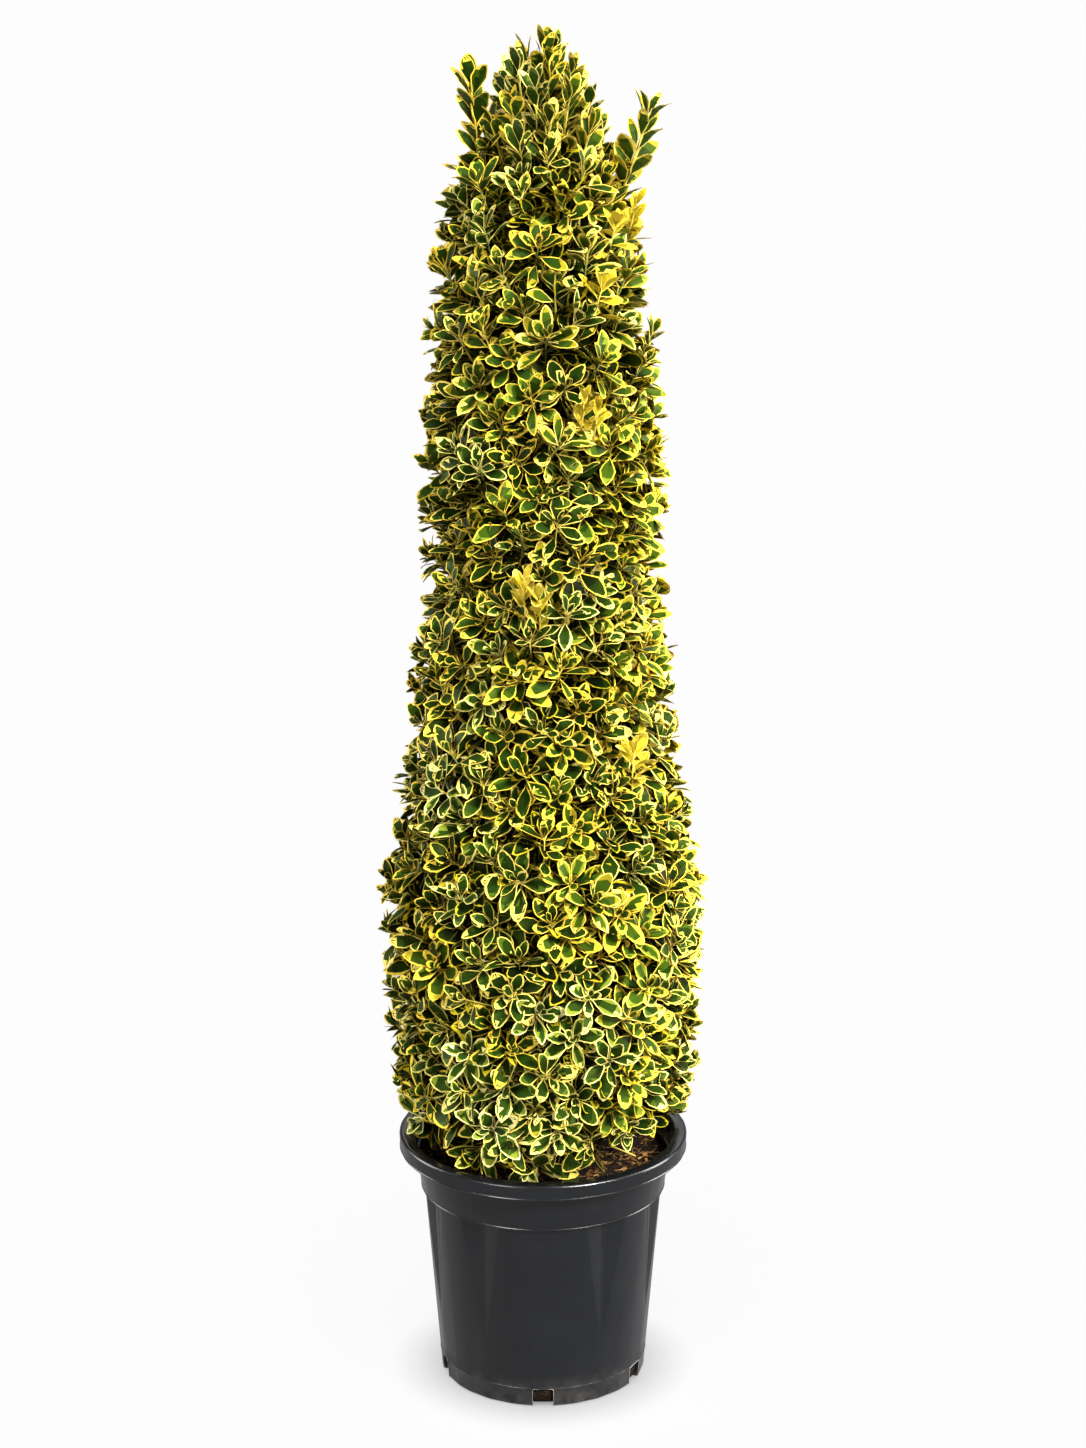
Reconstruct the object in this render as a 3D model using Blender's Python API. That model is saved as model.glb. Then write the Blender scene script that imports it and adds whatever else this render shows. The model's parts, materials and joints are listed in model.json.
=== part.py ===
"""A variegated Japanese spindle grown as a tall dense column, in a round black nursery pot.

Lengths are in metres and angles in degrees. +Z is up, the plant's front faces -Y, and the origin is
the middle of the pot's flat underside. Azimuths are counted from the front towards +X. The plant is
a trunk that runs up through the whole crown, five tiers of foliage masses round it with one bough
for each mass, and a crest of foliage on the trunk's tip.
"""

import math
import random

import bmesh
import bpy
from mathutils import Vector
from mathutils.bvhtree import BVHTree

# Clearance between pieces that meet
GAP = 0.0003

# Pot: heights above the underside, and radii of the outer face
POT_HEIGHT = 0.338
POT_WALL = 0.0035
POT_FLOOR = 0.004
FOOT_RADIUS = 0.1355
FOOT_CHAMFER = 0.003
BODY_TOP_HEIGHT = 0.262
BODY_TOP_RADIUS = 0.157
COLLAR_LOW_RADIUS = 0.1612
COLLAR_HIGH_RADIUS = 0.168
COLLAR_ROUNDING = 0.0035
RIM_RADIUS = 0.190
RIM_BAND_HEIGHT = 0.021
RIM_LIP_WIDTH = 0.0165
RIM_ROUNDING = 0.003
LEDGE_HEIGHT = 0.310

# Shallow wedge-shaped flutes under the collar, with a plain panel between them at front and back
FLUTE_AZIMUTHS = (32, 70, 110, 148, 212, 250, 290, 328)
FLUTE_HALF_MOUTH = 8
FLUTE_HALF_FLOOR = 3.5
FLUTE_DEPTH = 0.005
FLUTE_FADE_HEIGHT = 0.090
FLUTE_FADE_WIDTH = 0.4
WIDEST_COLUMN = 10

# Drain notches in the foot
NOTCH_AZIMUTHS = (0, 63, 135, 215, 287)
NOTCH_WIDTH = 0.027
NOTCH_HEIGHT = 0.025
NOTCH_REACH = 0.014

# Growing medium
SOIL_TOP = 0.300
SOIL_CLEARANCE = 0.0005

# Trunk
TRUNK_FOOT = SOIL_TOP + GAP
TRUNK_TIP = 1.500
TRUNK_FOOT_RADIUS = 0.0165
TRUNK_TIP_RADIUS = 0.0045
TRUNK_LEAN = 0.004
TRUNK_SWAY = 0.004
TRUNK_SWAY_LENGTH = 0.85
TRUNK_SIDES = 10
TRUNK_RINGS = 16
FLARE_RADIUS = 0.008
FLARE_HEIGHT = 0.022
FLARE_RINGS = 4
FLARE_LOBES = 3
FLARE_LOBE_DEPTH = 0.4

# Crown: radius of the outermost leaf tips by height, for the tiers and for the crest over them
CROWN_OUTLINE = (
    (0.300, 0.150),
    (0.360, 0.182),
    (0.460, 0.199),
    (0.600, 0.206),
    (0.700, 0.203),
    (0.780, 0.189),
    (0.870, 0.171),
    (0.980, 0.164),
    (1.110, 0.149),
    (1.250, 0.150),
    (1.370, 0.144),
    (1.500, 0.132),
    (1.620, 0.116),
)
CREST_OUTLINE = (
    (1.500, 0.080),
    (1.620, 0.088),
    (1.680, 0.066),
    (1.740, 0.040),
    (1.781, 0.014),
)
CROWN_TOP = 1.781

# Tiers of foliage from the pot up: name, number of masses round the trunk, azimuth of the first mass,
# and the height at the trunk's axis of the slanting boundary that closes the tier
TIERS = (
    ("skirt", 4, 0, 0.462),
    ("lower", 4, 65, 0.755),
    ("middle", 3, 30, 1.020),
    ("upper", 3, 0, 1.258),
    ("shoulder", 3, 60, 1.505),
)
BOUNDARY_SLOPE = 1.0
MASS_MARGIN = 0.0006
SETTLING_STEPS = 6

# The room over the soil and inside the pot's mouth, a cone that the lowest leaves stay in
SOIL_MARGIN = 0.004
MOUTH_RADIUS = 0.169
MOUTH_SLOPE = 0.9

# Shaft round the trunk, narrowing upward, that no foliage enters
CLEAR_SHAFT_LOW = 0.050
CLEAR_SHAFT_HIGH = 0.034

# Cores of the tiers' masses, under the outline by their depth
CORE_DEPTH = 0.043
CORE_EDGE_DEPTH = 0.007
CORE_RIPPLE = 0.006
CORE_EDGE = 1.5
CORE_END = 0.02
CORE_COLUMNS = 5
CORE_ROWS = 4

# The crest's core, by height and radius
CREST_CORE = ((1.522, 0.007), (1.570, 0.034), (1.615, 0.042), (1.655, 0.027), (1.685, 0.008))
CREST_CORE_SIDES = 8
CREST_CORE_RIPPLE = 0.1

# Boughs: sizes in shares of the trunk's radius, and where they leave the trunk and enter their mass
BOUGH_THICKNESS = 0.5
BOUGH_TAPER = 0.66
BOUGH_BEND = 0.5
BOUGH_SLOPE = 58
BOUGH_SIDES = 6
BOUGH_RINGS = 4
BOUGH_RISE = 0.075
BOUGH_STOP = 0.010
BOUGH_ENTRY = 0.50
BOUGH_ENTRY_SPREAD = 0.008
BOUGH_LOWEST = SOIL_TOP + 0.115

# Each mass's stem, from its bough's tip up through its core
STEM_LEAD = 0.012
STEM_DEPTH = 0.080
STEM_SHARES = (0.5, 0.8)
STEM_TAPERS = (1, 1, 0.8, 0.6)
STEM_SIDES = 5

# Twigs, one for each share of the crown's surface, a golden angle apart
GOLDEN_ANGLE = 137.508
TWIG_AREA = 0.0132
TWIG_LOWEST = 0.345
TWIG_HIGHEST = 1.640
TWIG_TIP_DEPTH = 0.024
TWIG_RISE = 0.045
TWIG_RISE_SHARES = (0.7, 1.3)
TWIG_FAN = 0.75
TWIG_FORKS = (0.12, 0.85)
TWIG_BASE_RADIUS = 0.0042
TWIG_TIP_RADIUS = 0.0030
TWIG_SIDES = 3

# Leaves
LEAF_LENGTH = 0.077
LEAF_WIDTH = 0.040
LEAF_WIDEST = 0.56
LEAF_THICKNESS = 0.0016
LEAF_FOLD = 0.003
LEAF_DROOP = 0.006
LEAF_ROOT = 0.001
LEAF_SIZES = (0.88, 1.06)

# Tries at placing a leaf: how far its turn and lean stray at the first, and how much further, and how
# much smaller the leaf is, at each one after that
LEAF_TRIES = 8
LEAF_TURN_STRAY = (6, 8)
LEAF_LEAN_STRAY = (5, 3)
LEAF_SHRINKAGE = 0.03

# A leaf's corners are its root, left side, tip and right side, and its middle's two faces
LEAF_FACES = ((1, 0, 4), (2, 1, 4), (3, 2, 4), (0, 3, 4), (0, 1, 5), (1, 2, 5), (2, 3, 5), (3, 0, 5))

# Each pair of leaves on a twig: distance behind the tip, angle from the twig's axis, relative length
LEAF_PAIRS = (
    (0.001, 42, 0.88),
    (0.007, 62, 1.00),
    (0.015, 80, 1.00),
)

# Upright shoots: relative size of their leaves, and the angle of each pair from the tip down
SHOOT_LEAF = 0.72
SHOOT_SPREADS = (24, 36, 48, 60, 60)

# Tall shoots of the shoulder tier: the mass that bears each, its foot, its tip and its pairs of leaves
TALL_SHOOTS = (
    ("shoulder_3", (-0.058, -0.016, 1.510), (-0.087, -0.012, 1.705), 5),
    ("shoulder_1", (0.060, -0.016, 1.500), (0.118, -0.016, 1.665), 4),
)
TALL_SHOOT_KNEE = 0.060
TALL_SHOOT_OUTWARD = 0.7
SHOOT_MARGIN = 0.003

# The crest's upright shoots, from the tallest at the middle outwards: azimuth of the second, tip
# radius and fall in height of the last, height of the tallest tip, and length
CREST_SHOOTS = 8
CREST_SHOOT_AZIMUTH = 105
CREST_SHOOT_SPREAD = 0.050
CREST_SHOOT_FALL = 0.100
CREST_SHOOT_TOP = 1.736
CREST_SHOOT_LENGTH = 0.11
CREST_SHOOT_GATHER = 0.25
CREST_SHOOT_PAIRS = 3

SEED = 7

# Finishes: colour and roughness
BLACK_PLASTIC = ((0.030, 0.031, 0.034), 0.45)
DARK_SOIL = ((0.040, 0.026, 0.014), 0.95)
GREY_BROWN_BARK = ((0.115, 0.085, 0.055), 0.85)
VARIEGATED_LEAF = ((0.260, 0.290, 0.045), 0.40)


def clear_scene():
    """Removes what the scene holds."""
    for obj in list(bpy.data.objects):
        bpy.data.objects.remove(obj)


def add_object(name, points, faces, collection=None):
    """A mesh object of the given points and faces, in the scene's collection or the one given."""
    mesh = bpy.data.meshes.new(name)
    mesh.from_pydata([tuple(point) for point in points], [], faces)
    obj = bpy.data.objects.new(name, mesh)
    (collection or bpy.context.scene.collection).objects.link(obj)
    return obj


def dress(obj, name, finish):
    """Gives an object its own material of the given (colour, roughness)."""
    colour, roughness = finish
    made = bpy.data.materials.new(name)
    made.use_nodes = True
    shader = made.node_tree.nodes["Principled BSDF"]
    shader.inputs["Base Color"].default_value = (*colour, 1)
    shader.inputs["Roughness"].default_value = roughness
    shader.inputs["Metallic"].default_value = 0
    obj.data.materials.clear()
    obj.data.materials.append(made)


def smooth(obj, sharp_angle):
    """Shades an object smooth, with its edges over an angle left sharp."""
    obj.data.shade_smooth()
    obj.data.set_sharp_from_angle(angle=math.radians(sharp_angle))


def face_outward(obj):
    """Turns an object's faces outward."""
    shape = bmesh.new()
    shape.from_mesh(obj.data)
    bmesh.ops.recalc_face_normals(shape, faces=shape.faces)
    shape.to_mesh(obj.data)
    shape.free()


def between(table, height):
    """The value at a height in a table of (height, value), eased between its rows."""
    if height <= table[0][0]:
        return table[0][1]
    for (low, first), (high, second) in zip(table, table[1:]):
        if height <= high:
            share = (height - low) / (high - low)
            return first + (second - first) * share * share * (3 - 2 * share)
    return table[-1][1]


def around(azimuth):
    """Level unit vector at an azimuth."""
    angle = math.radians(azimuth)
    return Vector((math.sin(angle), -math.cos(angle), 0))


def ring(centre, across, over, radius, sides):
    """Points of one ring of a tube, round a centre in the plane of two directions."""
    turns = [2 * math.pi * side / sides for side in range(sides)]
    return [centre + (across * math.cos(turn) + over * math.sin(turn)) * radius for turn in turns]


def ring_faces(rings, sides):
    """Faces of a tube of rings of points, closed with a cap at each end."""
    faces = [tuple(reversed(range(sides)))]
    for this_ring in range(rings - 1):
        for side in range(sides):
            this = this_ring * sides + side
            beside = this_ring * sides + (side + 1) % sides
            faces.append((this, beside, beside + sides, this + sides))
    faces.append(tuple(range((rings - 1) * sides, rings * sides)))
    return faces


# Pot and growing medium


def flute_shape(height):
    """(depth, width factor) of the flutes at a height on the pot's body."""
    share = (height - FLUTE_FADE_HEIGHT) / (BODY_TOP_HEIGHT - FLUTE_FADE_HEIGHT)
    share = min(max(share, 0), 1)
    return FLUTE_DEPTH * share, FLUTE_FADE_WIDTH + (1 - FLUTE_FADE_WIDTH) * share


def pot_columns():
    """(azimuth of a flute or column, offset from it, whether it is on a flute's floor) round the pot."""
    columns = []
    for index, azimuth in enumerate(FLUTE_AZIMUTHS):
        columns += [
            (azimuth, -FLUTE_HALF_MOUTH, False),
            (azimuth, -FLUTE_HALF_FLOOR, True),
            (azimuth, FLUTE_HALF_FLOOR, True),
            (azimuth, FLUTE_HALF_MOUTH, False),
        ]
        start = azimuth + FLUTE_HALF_MOUTH
        following = FLUTE_AZIMUTHS[(index + 1) % len(FLUTE_AZIMUTHS)]
        stretch = (following - FLUTE_HALF_MOUTH - start) % 360
        steps = math.ceil(stretch / WIDEST_COLUMN)
        columns += [(start + stretch * step / steps, 0, False) for step in range(1, steps)]
    return columns


def turned_solid(name, profile):
    """A solid turned round the pot's axis from (radius, height, whether the row has flutes) rows.

    The first and last rows lie on the axis, and the rows run from the underside outwards and up.
    """
    columns = pot_columns()
    count = len(columns)
    points = [Vector((0, 0, profile[0][1]))]
    for radius, height, fluted in profile[1:-1]:
        depth, width = flute_shape(height) if fluted else (0, 1)
        for azimuth, offset, on_floor in columns:
            points.append(around(azimuth + offset * width) * (radius - depth * on_floor))
            points[-1].z = height
    points.append(Vector((0, 0, profile[-1][1])))
    faces = []
    for row in range(len(profile) - 3):
        rising = profile[row + 2][1] >= profile[row + 1][1]
        for column in range(count):
            this = 1 + row * count + column
            beside = 1 + row * count + (column + 1) % count
            if rising:
                faces += [(this, beside, beside + count), (this, beside + count, this + count)]
            else:
                faces += [(this, beside, this + count), (beside, beside + count, this + count)]
    last = len(points) - 1
    for column in range(count):
        beside = (column + 1) % count
        faces.append((0, 1 + beside, 1 + column))
        faces.append((last, last - count + column, last - count + beside))
    return add_object(name, points, faces)


def body_radius(height):
    """Outer radius of the pot's tapering body."""
    return FOOT_RADIUS + (BODY_TOP_RADIUS - FOOT_RADIUS) * height / BODY_TOP_HEIGHT


def wall_rows(inset, floor, top):
    """Rows of the pot's inner wall, moved inward by an inset, between two heights."""
    step = BODY_TOP_HEIGHT + POT_WALL
    low = COLLAR_LOW_RADIUS - POT_WALL - inset
    slope = (COLLAR_HIGH_RADIUS - COLLAR_LOW_RADIUS) / (LEDGE_HEIGHT - step)
    return [
        (body_radius(floor) - POT_WALL - inset, floor, True),
        (body_radius(FLUTE_FADE_HEIGHT) - POT_WALL - inset, FLUTE_FADE_HEIGHT, True),
        (BODY_TOP_RADIUS - POT_WALL - inset, step, True),
        (low, step + COLLAR_ROUNDING + inset, False),
        (low + slope * (top - step), top, False),
    ]


def cut_notch(pot, azimuth):
    """Cuts one rectangular drain notch through the pot's wall and the edge of its floor."""
    mesh = bpy.data.meshes.new("notch_cutter")
    shape = bmesh.new()
    bmesh.ops.create_cube(shape, size=1)
    bmesh.ops.scale(shape, vec=(NOTCH_WIDTH, 2 * NOTCH_REACH, 2 * NOTCH_HEIGHT), verts=shape.verts)
    shape.to_mesh(mesh)
    shape.free()
    cutter = bpy.data.objects.new("notch_cutter", mesh)
    bpy.context.scene.collection.objects.link(cutter)
    cutter.location = around(azimuth) * FOOT_RADIUS
    cutter.rotation_euler.z = math.radians(azimuth)
    cutter.hide_render = True
    cutter.display_type = "WIRE"
    cut = pot.modifiers.new("drain_notch", "BOOLEAN")
    cut.operation = "DIFFERENCE"
    cut.object = cutter


def make_pot():
    """The pot: tapering body with flutes, collar, banded rim with a flat lip, and foot notches."""
    band = POT_HEIGHT - RIM_BAND_HEIGHT
    lip = RIM_RADIUS - RIM_LIP_WIDTH
    outer = [
        (0, 0, False),
        (FOOT_RADIUS - FOOT_CHAMFER, 0, True),
        (body_radius(FOOT_CHAMFER), FOOT_CHAMFER, True),
        (body_radius(FLUTE_FADE_HEIGHT), FLUTE_FADE_HEIGHT, True),
        (BODY_TOP_RADIUS, BODY_TOP_HEIGHT, True),
        (COLLAR_LOW_RADIUS - COLLAR_ROUNDING / 2, BODY_TOP_HEIGHT + GAP, False),
        (COLLAR_LOW_RADIUS, BODY_TOP_HEIGHT + COLLAR_ROUNDING, False),
        (COLLAR_HIGH_RADIUS, band, False),
        (RIM_RADIUS, band, False),
        (RIM_RADIUS, POT_HEIGHT - RIM_ROUNDING, False),
        (RIM_RADIUS - RIM_ROUNDING, POT_HEIGHT, False),
        (lip + RIM_ROUNDING, POT_HEIGHT, False),
        (lip, POT_HEIGHT - RIM_ROUNDING, False),
        (lip, LEDGE_HEIGHT + RIM_ROUNDING, False),
    ]
    inner = wall_rows(0, POT_FLOOR, LEDGE_HEIGHT)
    pot = turned_solid("pot", outer + inner[::-1] + [(0, POT_FLOOR, False)])
    for azimuth in NOTCH_AZIMUTHS:
        cut_notch(pot, azimuth)
    smooth(pot, 30)
    dress(pot, "black_plastic", BLACK_PLASTIC)


def make_soil():
    """The growing medium that fills the pot to just under its ledge."""
    bottom = POT_FLOOR + GAP
    rows = wall_rows(SOIL_CLEARANCE, bottom, SOIL_TOP)
    soil = turned_solid("soil", [(0, bottom, False), *rows, (0, SOIL_TOP, False)])
    dress(soil, "dark_soil", DARK_SOIL)


# Trunk and boughs


def trunk_centre(height):
    """The trunk's axis: a slight lean with a gentle sway."""
    risen = height - TRUNK_FOOT
    turn = 2 * math.pi * risen / TRUNK_SWAY_LENGTH
    lean = TRUNK_LEAN * risen / (TRUNK_TIP - TRUNK_FOOT)
    return Vector((TRUNK_SWAY * math.sin(turn) + lean, TRUNK_SWAY / 2 * math.sin(turn / 2), height))


def trunk_radius(height, lobe=1):
    """The trunk's radius at a height, on a lobe of its root flare or at a share of one."""
    share = (height - TRUNK_FOOT) / (TRUNK_TIP - TRUNK_FOOT)
    taper = TRUNK_FOOT_RADIUS + (TRUNK_TIP_RADIUS - TRUNK_FOOT_RADIUS) * share
    return taper + FLARE_RADIUS * lobe * math.exp(-(height - TRUNK_FOOT) / FLARE_HEIGHT)


def trunk_heights():
    """Heights of the trunk's rings, close together in the root flare."""
    heights = [TRUNK_FOOT + FLARE_HEIGHT * step / 2 for step in range(FLARE_RINGS)]
    rise = TRUNK_TIP - heights[-1]
    return heights + [heights[-1] + rise * step / TRUNK_RINGS for step in range(1, TRUNK_RINGS + 1)]


def trunk_ring(height):
    """Points of the trunk's ring at a height, with the lobes of its root flare."""
    points = []
    for side in range(TRUNK_SIDES):
        turn = 360 * side / TRUNK_SIDES
        wave = math.cos(math.radians(FLARE_LOBES * turn))
        lobe = 1 - FLARE_LOBE_DEPTH + FLARE_LOBE_DEPTH * wave
        points.append(trunk_centre(height) + around(turn) * trunk_radius(height, lobe))
    return points


def trunk_reach(outward, height):
    """How far the trunk's faceted side reaches in a level direction at a height."""
    heights = trunk_heights()
    above = next(index for index, top in enumerate(heights) if height <= top)
    low, high = heights[above - 1], heights[above]
    share = (height - low) / (high - low)
    pairs = zip(trunk_ring(low), trunk_ring(high))
    return max(lower.lerp(upper, share).dot(outward) for lower, upper in pairs)


def make_trunk():
    """The trunk, from its flat cut on the soil with a lobed root flare to its tip in the crown."""
    heights = trunk_heights()
    points = [point for height in heights for point in trunk_ring(height)]
    trunk = add_object("trunk", points, ring_faces(len(heights), TRUNK_SIDES))
    smooth(trunk, 50)
    dress(trunk, "trunk_bark", GREY_BROWN_BARK)


def clear_shaft(height):
    """Radius of the shaft round the trunk that no foliage enters."""
    share = (height - TRUNK_FOOT) / (TRUNK_TIP - TRUNK_FOOT)
    return CLEAR_SHAFT_LOW + (CLEAR_SHAFT_HIGH - CLEAR_SHAFT_LOW) * share


def make_bough(name, azimuth, entry):
    """One tapering limb, cut to the trunk's side, that bends up to where it enters its mass.

    Returns the middle of its tip, its direction and its radius there.
    """
    outward = around(azimuth)
    level = Vector((0, 0, 1)).cross(outward)
    foot_height = entry - BOUGH_RISE
    foot_radius = trunk_radius(foot_height) * BOUGH_THICKNESS
    stretch = 1 / math.cos(math.radians(BOUGH_SLOPE))
    reach = foot_radius * stretch
    levels = [foot_height + reach * step / 2 for step in range(-2, 3)]
    trunk_side = max(trunk_reach(outward, height) for height in levels)
    start = trunk_centre(foot_height)
    start += outward * (trunk_side + GAP - start.dot(outward))
    end = outward * (clear_shaft(entry) - BOUGH_STOP) + Vector((0, 0, entry))
    bend = start.lerp(end, 0.5) + (outward - Vector((0, 0, 1))) * foot_radius * BOUGH_BEND
    points = ring(start, level, Vector((0, 0, stretch)), foot_radius, BOUGH_SIDES)
    for step in range(1, BOUGH_RINGS):
        share = step / (BOUGH_RINGS - 1)
        centre = start.lerp(bend, share).lerp(bend.lerp(end, share), share)
        along = (bend - start).lerp(end - bend, share).normalized()
        across = (level - along * level.dot(along)).normalized()
        radius = foot_radius * (1 - (1 - BOUGH_TAPER) * share)
        points += ring(centre, across, along.cross(across), radius, BOUGH_SIDES)
    bough = add_object(name, points, ring_faces(BOUGH_RINGS, BOUGH_SIDES))
    face_outward(bough)
    smooth(bough, 65)
    dress(bough, name + "_bark", GREY_BROWN_BARK)
    return end, (end - bend).normalized(), foot_radius * BOUGH_TAPER


# The space that each mass of foliage keeps to


def tier_ceiling(tier, point):
    """Height over a point of the boundary that closes a tier, as high as the highest of its masses."""
    _, count, first, ceiling = TIERS[tier]
    reach = max(point.dot(around(first + 360 * number / count)) for number in range(count))
    return ceiling + BOUNDARY_SLOPE * reach


class TierSpace:
    """The space of one mass of a tier: a sector round the trunk between two slanting boundaries."""

    def __init__(self, tier, number):
        _, count, first, self.ceiling = TIERS[tier]
        self.tier = tier
        self.azimuth = first + 360 * number / count
        self.half = 180 / count
        self.outward = around(self.azimuth)
        before = around(self.azimuth - self.half)
        after = around(self.azimuth + self.half)
        self.walls = (Vector((-before.y, before.x, 0)), Vector((after.y, -after.x, 0)))

    def low(self, point):
        """Height of the lower boundary under a point."""
        if self.tier == 0:
            return SOIL_TOP + SOIL_MARGIN
        return tier_ceiling(self.tier - 1, point)

    def high(self, point):
        """Height of the upper boundary over a point."""
        return self.ceiling + BOUNDARY_SLOPE * point.dot(self.outward)

    def outline(self, height):
        """Radius of the outermost leaf tips at a height."""
        radius = between(CROWN_OUTLINE, height)
        if self.tier == 0:
            radius = min(radius, MOUTH_RADIUS + MOUTH_SLOPE * (height - POT_HEIGHT))
        return radius

    def claims(self, point, margin=0):
        """Whether a point lies between the boundaries, at any distance from the trunk."""
        if any(point.dot(wall) < margin for wall in self.walls):
            return False
        return self.low(point) + margin < point.z <= self.high(point) - margin

    def holds(self, point):
        """Whether a point is in the space, clear of its boundaries."""
        inside = clear_shaft(point.z) < point.xy.length < self.outline(point.z)
        return inside and self.claims(point, MASS_MARGIN)

    def place(self, azimuth, share, radius_at):
        """The point at an azimuth and a share of the height there, on a surface of radius by height.

        The height depends on the radius and the radius on the height, so both settle in a few steps.
        """
        side = around(azimuth)
        radius = radius_at(self.ceiling)
        for _ in range(SETTLING_STEPS):
            flat = side * radius
            height = self.low(flat) + (self.high(flat) - self.low(flat)) * share
            radius = radius_at(height)
        return side * radius + Vector((0, 0, height))

    def under(self, azimuth, share, depth):
        """The point at an azimuth and a share of the height, at a depth under the outline."""
        return self.place(azimuth, share, lambda height: self.outline(height) - depth)

    def fork(self, tip, rise):
        """Where a twig leaves the mass's inner limbs: deep in the core, and lower than its tip."""
        azimuth = math.degrees(math.atan2(tip.x, -tip.y))
        offset = (azimuth - self.azimuth + 180) % 360 - 180
        low = self.under(self.azimuth, 0, STEM_DEPTH).z
        high = self.under(self.azimuth, 1, STEM_DEPTH).z
        share = (tip.z - rise - low) / (high - low)
        share = min(max(share, TWIG_FORKS[0]), TWIG_FORKS[1])
        return self.under(self.azimuth + offset * TWIG_FAN, share, STEM_DEPTH)


class TallShootSpace:
    """The space of a tier's tall shoots: the tier's own, and over it the room outside the crest."""

    def __init__(self, space):
        self.space = space

    def holds(self, point):
        """Whether a point is in the space, clear of its boundaries."""
        over = point.z > tier_ceiling(self.space.tier, point) + MASS_MARGIN
        outside = point.xy.length > between(CREST_OUTLINE, point.z) + SHOOT_MARGIN
        return self.space.holds(point) or (over and outside)


class CrestSpace:
    """The space of the crest: over the last tier, inside the cone of the crown's top."""

    def claims(self, point):
        """Whether a point lies over the last tier."""
        return point.z > tier_ceiling(len(TIERS) - 1, point) + MASS_MARGIN

    def holds(self, point):
        """Whether a point is in the space, clear of its boundaries."""
        inside = point.xy.length < between(CREST_OUTLINE, point.z) and point.z < CROWN_TOP
        return inside and self.claims(point)


# Foliage


def twig_tips():
    """Twig tips all over the crown from the pot up, each with its share of the surface."""
    tips = []
    height = TWIG_LOWEST
    while height < TWIG_HIGHEST:
        outline = CROWN_OUTLINE if height < CROWN_OUTLINE[-1][0] else CREST_OUTLINE
        radius = between(outline, height)
        tip = around(GOLDEN_ANGLE * len(tips)) * (radius - TWIG_TIP_DEPTH)
        tips.append(tip + Vector((0, 0, height)))
        height += TWIG_AREA / (2 * math.pi * radius)
    return tips


def leaf_corners(root, along, face, length):
    """The six corners of a leaf: root, left, tip, right, and the middle's upper and lower faces."""
    across = along.cross(face).normalized()
    middle = root + along * length * LEAF_WIDEST
    half = across * length * LEAF_WIDTH / LEAF_LENGTH / 2
    return [
        root,
        middle - half + face * LEAF_FOLD,
        root + along * length - face * LEAF_DROOP,
        middle + half + face * LEAF_FOLD,
        middle + face * LEAF_THICKNESS / 2,
        middle - face * LEAF_THICKNESS / 2,
    ]


def shoot_pairs(count, length):
    """The pairs of leaves spaced along an upright shoot, from its tip down."""
    return [(LEAF_ROOT + length * pair / count, SHOOT_SPREADS[pair], 1) for pair in range(count)]


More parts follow.
